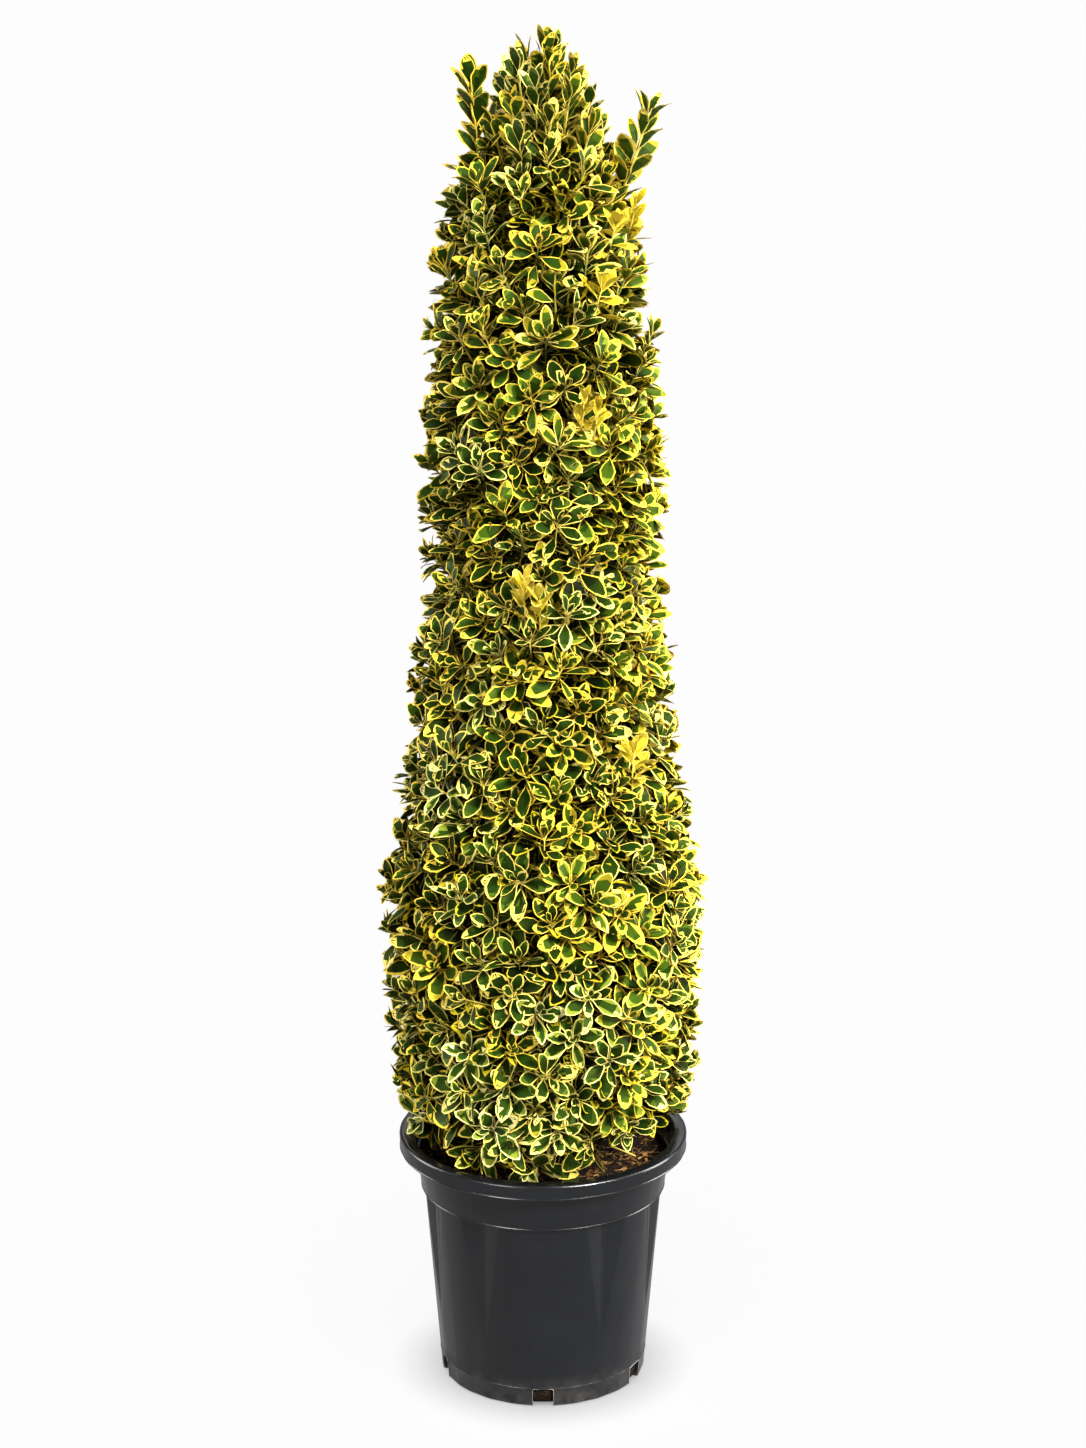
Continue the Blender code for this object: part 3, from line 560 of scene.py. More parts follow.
@dataclass(frozen=True)
class SoilFinish:
    """Moist dark potting mix, with lighter crumbs and fine grain."""

    name: str = "potting_mix"
    colour: Colour = (0.007, 0.004, 0.002)
    crumb: Colour = (0.036, 0.016, 0.005)
    roughness: float = 0.95
    shine: float = 0.12

    def make(self, effects: Effects) -> Material:
        """Makes the material.

        Args:
            effects: The shared effects.

        Returns:
            The material.
        """
        bench = Bench(self.name, self.colour, self.roughness, self.shine)
        crumbs = bench.effect(effects.blotch, Scale=260.0, Cover=0.42, Softness=0.08)
        bench.feed("Base Color", bench.blend(crumbs, self.colour, self.crumb))
        height = bench.effect(effects.grain, Fine_Scale=700.0, Broad_Scale=150.0, Broad_Share=0.5)
        bench.raise_surface(height, depth=0.003)
        return bench.material


@dataclass(frozen=True)
class BarkFinish:
    """Grey-brown bark with paler ridges, darker at the foot."""

    name: str = "bark"
    colour: Colour = (0.075, 0.055, 0.036)
    ridge: Colour = (0.210, 0.165, 0.115)
    damp: Colour = (0.030, 0.022, 0.014)
    roughness: float = 0.85

    def make(self, effects: Effects) -> Material:
        """Makes the material.

        Args:
            effects: The shared effects.

        Returns:
            The material.
        """
        bench = Bench(self.name, self.colour, self.roughness)
        ridges = bench.effect(effects.blotch, Scale=120.0, Cover=0.5, Softness=0.15)
        damp = bench.effect(effects.veil, Full_Below=0.30, Clear_Above=0.38, Patch_Scale=60.0)
        base = bench.blend(ridges, self.colour, self.ridge)
        bench.feed("Base Color", bench.blend(damp, base, self.damp))
        height = bench.effect(effects.grain, Fine_Scale=900.0, Broad_Scale=220.0, Broad_Share=0.6)
        bench.raise_surface(height, depth=0.0012)
        return bench.material


@dataclass(frozen=True)
class LeafFinish:
    """Leathery leaf skin of one plain colour, with the relief of veins across the blade."""

    name: str
    colour: Colour
    roughness: float = 0.40
    shine: float = 0.12
    sheen: Colour = (0.90, 1.0, 0.22)

    def make(self, effects: Effects) -> Material:
        """Makes the material.

        Args:
            effects: The shared effects.

        Returns:
            The material.
        """
        bench = Bench(self.name, self.colour, self.roughness, self.shine)
        bench.shader.inputs["Specular Tint"].default_value = (*self.sheen, 1)
        bench.raise_surface(bench.effect(effects.veins), depth=0.0005, strength=0.3)
        return bench.material


class Tint(Enum):
    """Plain colours of the leaves and young twigs, each the slot of its own material."""

    # BLACK_GREEN and DEEP_GREEN also serve as painted shade: the near-black of leaves deep in the crown and
    # of the blades' darker feet.
    BLACK_GREEN = (0.002, 0.005, 0.001)
    DEEP_GREEN = (0.006, 0.016, 0.001)
    BOTTLE_GREEN = (0.009, 0.026, 0.002)
    LEAF_GREEN = (0.014, 0.035, 0.003)
    FRESH_GREEN = (0.031, 0.060, 0.003)
    # GREY_GREEN, PALE_GREEN and LIME colour the flush beside the blade's middle: partly grey-green
    # variegation and partly painted sheen.
    GREY_GREEN = (0.048, 0.084, 0.006)
    PALE_GREEN = (0.165, 0.205, 0.016)
    LIME = (0.262, 0.216, 0.010)
    # SHADE_YELLOW is a margin yellow darkened as painted shade, for leaves deep in the crown.
    SHADE_YELLOW = (0.400, 0.312, 0.010)
    BUTTER = (0.785, 0.597, 0.106)
    LEMON = (0.762, 0.527, 0.048)
    CREAM = (0.805, 0.675, 0.175)
    IVORY = (0.825, 0.715, 0.255)
    GOLD = (0.545, 0.410, 0.030)
    # OLD_GOLD is both a golden leaf colour and, on SHADED sprays, a margin darkened as painted shade.
    OLD_GOLD = (0.375, 0.288, 0.010)

    @property
    def slot(self) -> int:
        """The tint's material slot."""
        return list(Tint).index(self)


class Livery(Enum):
    """How a spray is coloured: tints of its blades' foot, middle, flush beside it and edge."""

    # Each tone's foot tint is partly the blade's own deeper green and partly painted shade near its base; its
    # flush tint is partly grey-green variegation and partly painted sheen.
    YELLOW_EDGED = (
        (Tint.BLACK_GREEN, Tint.DEEP_GREEN, Tint.BOTTLE_GREEN, Tint.LEMON),
        (Tint.DEEP_GREEN, Tint.BOTTLE_GREEN, Tint.LEAF_GREEN, Tint.BUTTER),
        (Tint.DEEP_GREEN, Tint.BOTTLE_GREEN, Tint.GREY_GREEN, Tint.BUTTER),
        (Tint.DEEP_GREEN, Tint.BOTTLE_GREEN, Tint.FRESH_GREEN, Tint.LEMON),
        (Tint.DEEP_GREEN, Tint.LEAF_GREEN, Tint.FRESH_GREEN, Tint.BUTTER),
        (Tint.BOTTLE_GREEN, Tint.LEAF_GREEN, Tint.GREY_GREEN, Tint.LEMON),
    )
    # Painted light: brighter, yellower tones, dealt out more often towards the lit right side and higher up.
    BRIGHT = (
        (Tint.BOTTLE_GREEN, Tint.LEAF_GREEN, Tint.LIME, Tint.LEMON),
        (Tint.DEEP_GREEN, Tint.LEAF_GREEN, Tint.LIME, Tint.BUTTER),
        (Tint.LEAF_GREEN, Tint.FRESH_GREEN, Tint.LIME, Tint.BUTTER),
        (Tint.BOTTLE_GREEN, Tint.FRESH_GREEN, Tint.PALE_GREEN, Tint.LEMON),
        (Tint.LEAF_GREEN, Tint.FRESH_GREEN, Tint.GOLD, Tint.LEMON),
    )
    CREAM_EDGED = (
        (Tint.DEEP_GREEN, Tint.BOTTLE_GREEN, Tint.GREY_GREEN, Tint.CREAM),
        (Tint.DEEP_GREEN, Tint.LEAF_GREEN, Tint.PALE_GREEN, Tint.CREAM),
        (Tint.DEEP_GREEN, Tint.BOTTLE_GREEN, Tint.FRESH_GREEN, Tint.CREAM),
        (Tint.BOTTLE_GREEN, Tint.LEAF_GREEN, Tint.PALE_GREEN, Tint.IVORY),
        (Tint.BOTTLE_GREEN, Tint.LEAF_GREEN, Tint.GREY_GREEN, Tint.CREAM),
    )
    GOLDEN = (
        (Tint.LIME, Tint.GOLD, Tint.GOLD, Tint.LEMON),
        (Tint.OLD_GOLD, Tint.GOLD, Tint.OLD_GOLD, Tint.BUTTER),
        (Tint.LIME, Tint.OLD_GOLD, Tint.GOLD, Tint.LEMON),
    )
    # Painted shade: darkened copies of the blades and margins, for sprays and leaves deep in the crown where
    # shade falls.
    SHADED = (
        (Tint.BLACK_GREEN, Tint.BLACK_GREEN, Tint.DEEP_GREEN, Tint.SHADE_YELLOW),
        (Tint.BLACK_GREEN, Tint.DEEP_GREEN, Tint.DEEP_GREEN, Tint.OLD_GOLD),
        (Tint.BLACK_GREEN, Tint.BLACK_GREEN, Tint.BLACK_GREEN, Tint.OLD_GOLD),
    )
    # Painted shade: all but black, for the inner leaves that stand for the dark inside of the crown.
    DARK = ((Tint.BLACK_GREEN, Tint.BLACK_GREEN, Tint.BLACK_GREEN, Tint.DEEP_GREEN),)


# Pot


@dataclass
class NurseryPot:
    """The pot: tapering fluted body, collar, banded rim with a flat lip, and notches in its foot."""

    height: float = 0.338
    wall: float = 0.0035
    floor: float = 0.004
    foot_radius: float = 0.1355
    foot_rounding: float = 0.003
    underside_inset: float = 0.02
    body_top: float = 0.262
    body_top_radius: float = 0.157
    body_rows: int = 14
    collar_low_radius: float = 0.1612
    collar_high_radius: float = 0.168
    collar_drop: float = 0.0003
    rim_radius: float = 0.190
    rim_band: float = 0.021
    rim_undercut: tuple[float, float] = (0.0010, 0.0006)
    rim_lip: float = 0.0165
    rim_rounding: float = 0.0038
    rim_crown: float = 0.0002
    lip_rounding: float = 0.0024
    bead: float = 0.0007
    bead_rounding: float = 0.0012
    bead_rise: float = 2.6
    ledge: float = 0.310
    ledge_rounding: float = 0.0012
    mould_line: float = 0.026
    mould_line_size: tuple[float, float] = (0.0005, 0.0009)
    flutes: tuple[float, ...] = (32, 70, 110, 148, 212, 250, 290, 328)
    flute_mouth: float = 10.8
    flute_floor: float = 2.0
    flute_corner: float = 0.5
    flute_depth: float = 0.0072
    flute_fade: float = 0.098
    flute_narrowing: float = 0.14
    notches: tuple[float, ...] = (0, 63, 135, 215, 287)
    notch_width: float = 0.027
    notch_height: float = 0.025
    notch_rounding: float = 0.003
    notch_reach: float = 0.014
    flash_radius: float = 0.0004
    flash_gap: float = 0.0003
    flash_sides: int = 6
    column_step: float = 2.0
    sharp_edges: float = 38

    def columns(self) -> list[tuple[float, float, float]]:
        """Lays out the columns of the wall's points.

        Returns:
            For each column a flute's azimuth, the offset from it and the share of the flute's depth.
        """
        corner = self.flute_corner
        ramp = (
            (self.flute_mouth + corner, 0.0),
            (self.flute_mouth, 0.03),
            (self.flute_mouth - corner, 0.12),
            (self.flute_floor + corner, 0.88),
            (self.flute_floor, 0.97),
            (self.flute_floor - corner, 1.0),
        )
        found = []
        for azimuth, following in zip(self.flutes, (*self.flutes[1:], self.flutes[0])):
            found += [(azimuth, -offset, share) for offset, share in ramp]
            found += [(azimuth, offset, share) for offset, share in reversed(ramp)]
            start = azimuth + self.flute_mouth + corner
            stretch = (following - self.flute_mouth - corner - start) % 360
            steps = math.ceil(stretch / self.column_step)
            found += [(start + stretch * step / steps, 0.0, 0.0) for step in range(1, steps)]
        return found

    def body_radius(self, height: float) -> float:
        """Returns the outer radius of the tapering body at a height."""
        return self.foot_radius + (self.body_top_radius - self.foot_radius) * height / self.body_top

    def flute_share(self, height: float) -> float:
        """Returns the share of their depth that the flutes have at a height."""
        return clamped((height - self.flute_fade) / (self.body_top - self.flute_fade))

    def inner_radius(self, height: float, in_flute: bool = False) -> float:
        """Finds the radius of the pot's inside.

        Args:
            height: Where.
            in_flute: Whether at the bottom of a flute, which stands into the pot.

        Returns:
            The radius there.
        """
        step = self.body_top + self.wall
        if height > step:
            slope = (self.collar_high_radius - self.collar_low_radius) / (self.ledge - step)
            return self.collar_low_radius - self.wall + slope * (height - step)
        recess = self.flute_depth * self.flute_share(height) if in_flute else 0.0
        return self.body_radius(min(height, self.body_top)) - self.wall - recess

    def outside(self) -> list[tuple[float, float]]:
        """Draws the fluted body, from its underside up to the collar.

        Returns:
            Rows of (radius, height).
        """
        turn, line = self.foot_rounding, self.mould_line
        proud, half = self.mould_line_size
        rows = [(self.foot_radius - self.underside_inset, 0.0)]
        rows += arc((self.body_radius(turn) - turn, turn), turn, -90, 0)
        rows.append((self.body_radius(line - half), line - half))
        rows.append((self.body_radius(line) + proud, line))
        rows.append((self.body_radius(line + half), line + half))
        for step in range(1, self.body_rows + 1):
            height = line + (self.body_top - line) * step / self.body_rows
            rows.append((self.body_radius(height), height))
        return rows

    def top(self) -> list[tuple[float, float]]:
        """Draws the collar, the rim and the ledge within it.

        Returns:
            Rows of (radius, height).
        """
        turn = self.bead_rounding
        rise = self.bead_rise * turn
        foot = self.body_top + self.collar_drop
        rows = arc((self.collar_low_radius + self.bead - turn, foot + turn), turn, -80, 60)
        rows.append((self.collar_low_radius, foot + rise))
        band = self.height - self.rim_band
        for share in (0.15, 0.4, 0.7, 0.97):
            radius = self.collar_low_radius + (self.collar_high_radius - self.collar_low_radius) * share
            rows.append((radius, self.body_top + (band - self.body_top) * share))
        rows.append((self.collar_high_radius + self.rim_undercut[0], band + self.rim_undercut[1]))
        rows += arc((self.rim_radius - turn, band + turn), turn, -90, 60)
        rows.append((self.rim_radius - self.bead, band + rise))
        turn = self.rim_rounding
        rows += arc((self.rim_radius - turn, self.height - turn), turn, 0, 90)
        lip = self.rim_radius - self.rim_lip
        rows.append(((self.rim_radius + lip) / 2, self.height + self.rim_crown))
        turn = self.lip_rounding
        rows += arc((lip + turn, self.height - turn), turn, 90, 180)
        rows.append((lip, (self.height + self.ledge) / 2))
        turn = self.ledge_rounding
        rows.append((lip, self.ledge + turn))
        rows.append((lip - turn, self.ledge))
        rows.append((self.inner_radius(self.ledge) + turn, self.ledge))
        for height in (self.ledge - turn, 0.29, self.body_top + 2 * self.wall):
            rows.append((self.inner_radius(height), height))
        return rows

    def inside(self) -> list[tuple[float, float]]:
        """Draws the fluted inside, from under the collar down to the floor.

        Returns:
            Rows of (radius, height).
        """
        heights = (self.body_top + self.wall, 0.2, self.flute_fade, self.floor + 0.03, self.floor)
        rows = [(self.inner_radius(height), height) for height in heights]
        return rows + [(self.foot_radius - self.underside_inset, self.floor)]

    def wall_shape(self) -> MeshStock:
        """Turns the profile round the axis, with a disc at each end.

        Returns:
            The closed shape.
        """
        columns = self.columns()
        recesses = np.array([recess for _, _, recess in columns])
        count = len(columns)
        rings = []
        for rows, fluted in ((self.outside(), True), (self.top(), False), (self.inside(), True)):
            for radius, height in rows:
                share = self.flute_share(height)
                depth = self.flute_depth * share if fluted else 0.0
                width = self.flute_narrowing + (1 - self.flute_narrowing) * share if fluted else 1.0
                angles = np.radians([azimuth + offset * width for azimuth, offset, _ in columns])
                radii = radius - depth * recesses
                flat = (radii * np.sin(angles), -radii * np.cos(angles))
                rings.append(np.stack([*flat, np.full(count, height)], axis=1))
        stock = MeshStock("pot_wall")
        stock.add_rings(rings, closed=False)
        stock.add_fan((0.0, 0.0, 0.0), 0, count, False)
        stock.add_fan((0.0, 0.0, self.floor), (len(rings) - 1) * count, count, True)
        return stock

    def notch_outline(self, grow: float = 0.0) -> list[tuple[float, float]]:
        """Outlines a notch.

        Args:
            grow: How far outside the notch.

        Returns:
            Points (across, height) up one side, over the top and down the other.
        """
        half, top = self.notch_width / 2 + grow, self.notch_height + grow
        turn = self.notch_rounding
        points = [(-half, 0.0), *arc((turn - half, top - turn), turn, 180, 90)]
        return points + arc((half - turn, top - turn), turn, 90, 0) + [(half, 0.0)]

    def cut_notches(self, pot: bpy.types.Object) -> None:
        """Cuts the drain notches through the pot's wall, in place.

        Args:
            pot: The pot's piece.
        """
        outline = [(across, height or -self.notch_height) for across, height in self.notch_outline()]
        cutters = []
        for azimuth in self.notches:
            side = around(azimuth)
            rings = []
            for reach in (self.foot_radius + self.notch_reach, self.foot_radius - self.notch_reach):
                ring = [side * reach + quarter_on(side) * across + UP * height for across, height in outline]
                rings.append(np.array(ring))
            stock = MeshStock("notch_cutter")
            stock.add_rings(rings)
            cutters.append(stock.make([]))
            cut = pot.modifiers.new("notch", "BOOLEAN")
            cut.operation = "DIFFERENCE"
            cut.object = cutters[-1]
        graph = bpy.context.evaluated_depsgraph_get()
        mesh = bpy.data.meshes.new_from_object(pot.evaluated_get(graph))
        pot.modifiers.clear()
        pot.data = mesh
        for cutter in cutters:
            bpy.data.objects.remove(cutter)

    def flash(self) -> MeshStock:
        """Makes the thin beads of flash round the notches.

        Returns:
            Their mesh.
        """
        stock = MeshStock("pot_flash")
        for azimuth in self.notches:
            line = []
            for across, height in self.notch_outline(self.flash_gap):
                turn = azimuth + math.degrees(across / self.foot_radius)
                radius = self.body_radius(height) + self.flash_radius / 4
                line.append(around(turn) * radius + UP * max(height, self.flash_radius * 1.5))
            stock.add_tube(line, [self.flash_radius] * len(line), self.flash_sides)
        return stock

    def build(self, effects: Effects) -> None:
        """Builds the pot and its flash.

        Args:
            effects: The shared effects.
        """
        pot = self.wall_shape().make([PlasticFinish().make(effects)])
        self.cut_notches(pot)
        pot.data.shade_smooth()
        pot.data.set_sharp_from_angle(angle=math.radians(self.sharp_edges))
        settle(pot, "pot_plastic", "pot")
        settle(self.flash().make([FlashFinish().make(effects)]), "pot_plastic")


# Growing medium


@dataclass
class PottingMix:
    """The growing medium in the pot: a rough top with clods, bark flakes and coir."""

    pot: NurseryPot
    top: float = 0.300
    clearance: float = 0.0006
    sectors: int = 150
    rings: int = 46
    edge_roughness: float = 0.3
    roughness: float = 0.0050
    crumbs: float = 0.0007
    clods: Table = ((35, 0.5), (80, 0.3), (190, 0.25), (420, 0.16))
    waves: int = 5
    depths: tuple[float, ...] = (0.28, 0.268, 0.26, 0.17, 0.09, 0.06, 0.045, 0.03, 0.018)
    side_top: float = 0.25
    side_roughness: float = 0.012
    litter_inset: float = 0.006
    flakes: int = 1500
    flake_length: tuple[float, float] = (0.002, 0.009)
    fibres: int = 420
    fibre_length: tuple[float, float] = (0.008, 0.022)
    fibre_radii: tuple[float, ...] = (0.00035, 0.0005, 0.0005, 0.0003)
    flake_edges: float = 30
    seed: int = 41

    def wall_radius(self, height: float) -> float:
        """Returns the radius at which the mix meets the pot's wall at a height."""
        return self.pot.inner_radius(height, in_flute=True) - self.clearance

    def relief(self, places: np.ndarray) -> np.ndarray:
        """Height of the top's clods.

        Args:
            places: Rows of x and y.

        Returns:
            Heights over the level top.
        """
        rng = np.random.default_rng(self.seed)
        total = np.zeros(len(places))
        for scale, size in self.clods:
            for _ in range(self.waves):
                way = rng.uniform(0, 2 * np.pi)
                phase = rng.uniform(0, 2 * np.pi)
                along = places @ np.array([math.cos(way), math.sin(way)])
                warp = 1.7 * np.sin(scale * 0.6 * places[:, 1] + phase)
                total += size / self.waves * np.sin(scale * along + phase + warp)
        return self.roughness * total

    def surface(self, point: Vector) -> float:
        """Returns the height of the rough top under a point."""
        return self.top + float(self.relief(np.array([[point.x, point.y]]))[0])

    def body(self) -> MeshStock:
        """Makes the mix's body, from its flat underside up along the wall and over its rough top.

        Returns:
            Its mesh.
        """
        edge = self.wall_radius(self.top)
        roughness = [1.0] * (self.rings - 2) + [self.edge_roughness] * 2
        rows = [(edge * (ring + 1) / self.rings, self.top, rough) for ring, rough in enumerate(roughness)]
        bottom = self.pot.floor + self.clearance
        rows += [(self.wall_radius(height), height, 0.0) for height in (*self.depths, bottom)]
        angles = 2 * np.pi * np.arange(self.sectors) / self.sectors
        rng = np.random.default_rng(self.seed + 1)
        rings = []
        for radius, height, rough in rows:
            flat = radius * np.stack([np.sin(angles), -np.cos(angles)], axis=1)
            if bottom < height < self.side_top:
                flat = flat * (1 - rng.uniform(0, self.side_roughness, (self.sectors, 1)))
            rise = rough * (self.relief(flat) + rng.normal(0, self.crumbs, self.sectors))
            rings.append(np.column_stack([flat, height + rise]))
        stock = MeshStock("soil_body")
        stock.add_rings(rings[::-1], closed=False)
        stock.add_faces(np.arange(self.sectors)[None, ::-1])
        stock.add_fan((0.0, 0.0, self.top), (len(rings) - 1) * self.sectors, self.sectors, True)
        return stock

    def add_flakes(self, stock: MeshStock, edge: float, rng: random.Random) -> None:
        """Strews flakes of bark over the top, each a rough box.

        Args:
            stock: Takes them.
            edge: How far out they lie.
            rng: Seeded numbers.
        """
        box = np.array([[x, y, z] for z in (-0.5, 0.5) for y in (-0.5, 0.5) for x in (-0.5, 0.5)])
        sides = np.array(
            [[0, 2, 3, 1], [4, 5, 7, 6], [0, 1, 5, 4], [2, 6, 7, 3], [0, 4, 6, 2], [1, 3, 7, 5]]
        )
        for _ in range(self.flakes):
            radius = edge * math.sqrt(rng.uniform(0.02, 1))
            flat = around(rng.uniform(0, 360)) * radius
            length = rng.uniform(*self.flake_length)
            size = np.array([length, length * rng.uniform(0.25, 0.7), length * rng.uniform(0.1, 0.3)])
            turn, tilt = rng.uniform(0, math.pi), rng.gauss(0, 0.35)
            cosine, sine = math.cos(turn), math.sin(turn)
            spin = np.array([[cosine, -sine, 0], [sine, cosine, 0], [math.sin(tilt), 0, 1]])
            shape = box * np.array([rng.uniform(0.7, 1.2) for _ in range(box.size)]).reshape(box.shape)
            middle = np.array([flat.x, flat.y, self.surface(flat) + size[2] * 0.4])
            first = stock.add_points((shape * size) @ spin.T + middle)
            stock.add_faces(sides + first, rng.choice((0, 0, 0, 0, 1, 1, 2)))

    def add_fibres(self, stock: MeshStock, edge: float, rng: random.Random) -> None:
        """Strews fibres of coir over the top.

        Args:
            stock: Takes them.
            edge: How far out they reach.
            rng: Seeded numbers.
        """
        for _ in range(self.fibres):
            radius = edge * math.sqrt(rng.uniform(0.05, 1))
            flat = around(rng.uniform(0, 360)) * radius
            length = rng.uniform(*self.fibre_length)
            way = around(rng.uniform(0, 360))
            aside = quarter_on(way) * rng.gauss(0, 0.35)
            line = []
            for share in (-0.5, -0.2, 0.15, 0.5):
                point = flat + way * length * share + aside * length * share * share
                if point.length > edge:
                    point = point * (edge / point.length)
                line.append(point + UP * (self.surface(point) + 0.0008 + 0.0015 * rng.random()))
            stock.add_tube(line, self.fibre_radii, 4, rng.choice((1, 2, 2)))

    def build(self, effects: Effects) -> None:
        """Builds the mix and the litter on it.

        Args:
            effects: The shared effects.
        """
        settle(self.body().make([SoilFinish().make(effects)]), "potting_mix", "soil")
        litter = MeshStock("soil_litter")
        rng = random.Random(self.seed + 2)
        edge = self.wall_radius(self.top) - self.litter_inset
        self.add_flakes(litter, edge, rng)
        self.add_fibres(litter, edge, rng)
        finishes = [
            SoilFinish("bark_flake", (0.012, 0.006, 0.003), (0.032, 0.014, 0.004), 0.9).make(effects),
            SoilFinish("coir_flake", (0.080, 0.035, 0.009), (0.210, 0.098, 0.026), 0.9).make(effects),
            SoilFinish("coir_fibre", (0.230, 0.115, 0.031), (0.440, 0.265, 0.085), 0.9).make(effects),
        ]
        settle(litter.make(finishes, self.flake_edges), "potting_mix")


# The rule that the plant grows by


@dataclass(frozen=True)
class TierPlan:
    """One tier of foliage masses.

    Attributes:
        first: Azimuth of the first mass.
        ceiling: Height at the trunk's axis of the slanting boundary that closes the tier.
    """

    name: str
    count: int
    first: float
    ceiling: float


@dataclass(frozen=True)
class Habit:
    """The plant's habit: the crown's outline, its tiers, and the trunk up its middle."""

    soil_top: float = 0.300
    gap: float = 0.0003
    trunk_tip: float = 1.500
    foot_radius: float = 0.0165
    tip_radius: float = 0.0045
    lean: float = 0.004
    sway: float = 0.004
    sway_length: float = 0.85
    flare_radius: float = 0.008
    flare_height: float = 0.022
    flare_lobes: int = 3
    flare_lobe_depth: float = 0.4
    outline: Table = (
        (0.300, 0.150), (0.360, 0.182), (0.460, 0.199), (0.600, 0.206), (0.700, 0.203), (0.780, 0.189),
        (0.870, 0.171), (0.980, 0.164), (1.110, 0.149), (1.250, 0.150), (1.370, 0.144), (1.500, 0.132),
        (1.620, 0.116),
    )
    crest_outline: Table = (
        (1.500, 0.080), (1.620, 0.088), (1.680, 0.066), (1.740, 0.040), (1.781, 0.014),
    )
    crown_top: float = 1.781
    tiers: tuple[TierPlan, ...] = (
        TierPlan("skirt", 4, 0, 0.462),
        TierPlan("lower", 4, 65, 0.755),
        TierPlan("middle", 3, 30, 1.020),
        TierPlan("upper", 3, 0, 1.258),
        TierPlan("shoulder", 3, 60, 1.505),
    )
    boundary_slope: float = 1.0
    pot_height: float = 0.338
    mouth_radius: float = 0.169
    mouth_slope: float = 0.9
    soil_margin: float = 0.004
    shaft_low: float = 0.050
    shaft_high: float = 0.034
    stem_depth: float = 0.080
    stem_shares: tuple[float, float] = (0.5, 0.8)
    twig_fan: float = 0.75
    twig_forks: tuple[float, float] = (0.12, 0.85)
    limb_area: float = 0.0132
    twig_lowest: float = 0.345
    twig_highest: float = 1.640

    @property
    def trunk_foot(self) -> float:
        """Height of the trunk's flat cut."""
        return self.soil_top + self.gap

    def trunk_share(self, height: float) -> float:
        """Returns the share of the trunk's length that lies under a height."""
        return (height - self.trunk_foot) / (self.trunk_tip - self.trunk_foot)

    def trunk_centre(self, height: float) -> Vector:
        """Places the trunk's axis, which has a slight lean and a gentle sway.

        Args:
            height: Where.

        Returns:
            The axis' point at that height.
        """
        turn = 2 * math.pi * (height - self.trunk_foot) / self.sway_length
        lean = self.lean * self.trunk_share(height)
        return Vector((self.sway * math.sin(turn) + lean, self.sway / 2 * math.sin(turn / 2), height))

    def trunk_radius(self, height: float, lobe: float = 1.0) -> float:
        """Returns the trunk's radius at a height, on a lobe of its flare or at a share of one."""
        taper = self.foot_radius + (self.tip_radius - self.foot_radius) * self.trunk_share(height)
        return taper + self.flare_radius * lobe * math.exp(-(height - self.trunk_foot) / self.flare_height)

    def shaft(self, height: float) -> float:
        """Returns the radius of the shaft round the trunk that no core enters."""
        return self.shaft_low + (self.shaft_high - self.shaft_low) * self.trunk_share(height)

    def reach(self, height: float) -> float:
        """Finds how far out the crown stands.

        Args:
            height: Where.

        Returns:
            The radius of the outermost leaf tips.
        """
        if height >= self.outline[-1][0]:
            return eased(self.crest_outline, height)
        radius = eased(self.outline, height)
        return min(radius, self.mouth_radius + self.mouth_slope * max(height - self.pot_height, -0.01))

    def ceiling(self, tier: int, point: Vector) -> float:
        """Finds the boundary that closes a tier.

        Args:
            tier: The tier's number.
            point: A point over or under it.

        Returns:
            The boundary's height there.
        """
        plan = self.tiers[tier]
        ways = (around(plan.first + 360 * number / plan.count) for number in range(plan.count))
        return plan.ceiling + self.boundary_slope * max(point.dot(way) for way in ways)

    def tips(self, area: float, depth: float) -> list[Vector]:
        """Places twig tips all over the crown, a golden angle apart.

        Args:
            area: Share of the crown's surface that each has.
            depth: How far they lie under the outline.

        Returns:
            The tips, from the lowest up.
        """
        found: list[Vector] = []
        height = self.twig_lowest
        while height < self.twig_highest:
            table = self.outline if height < self.outline[-1][0] else self.crest_outline
            radius = eased(table, height)
            found.append(around(GOLDEN_ANGLE * len(found)) * (radius - depth) + UP * height)
            height += area / (2 * math.pi * radius)
        return found


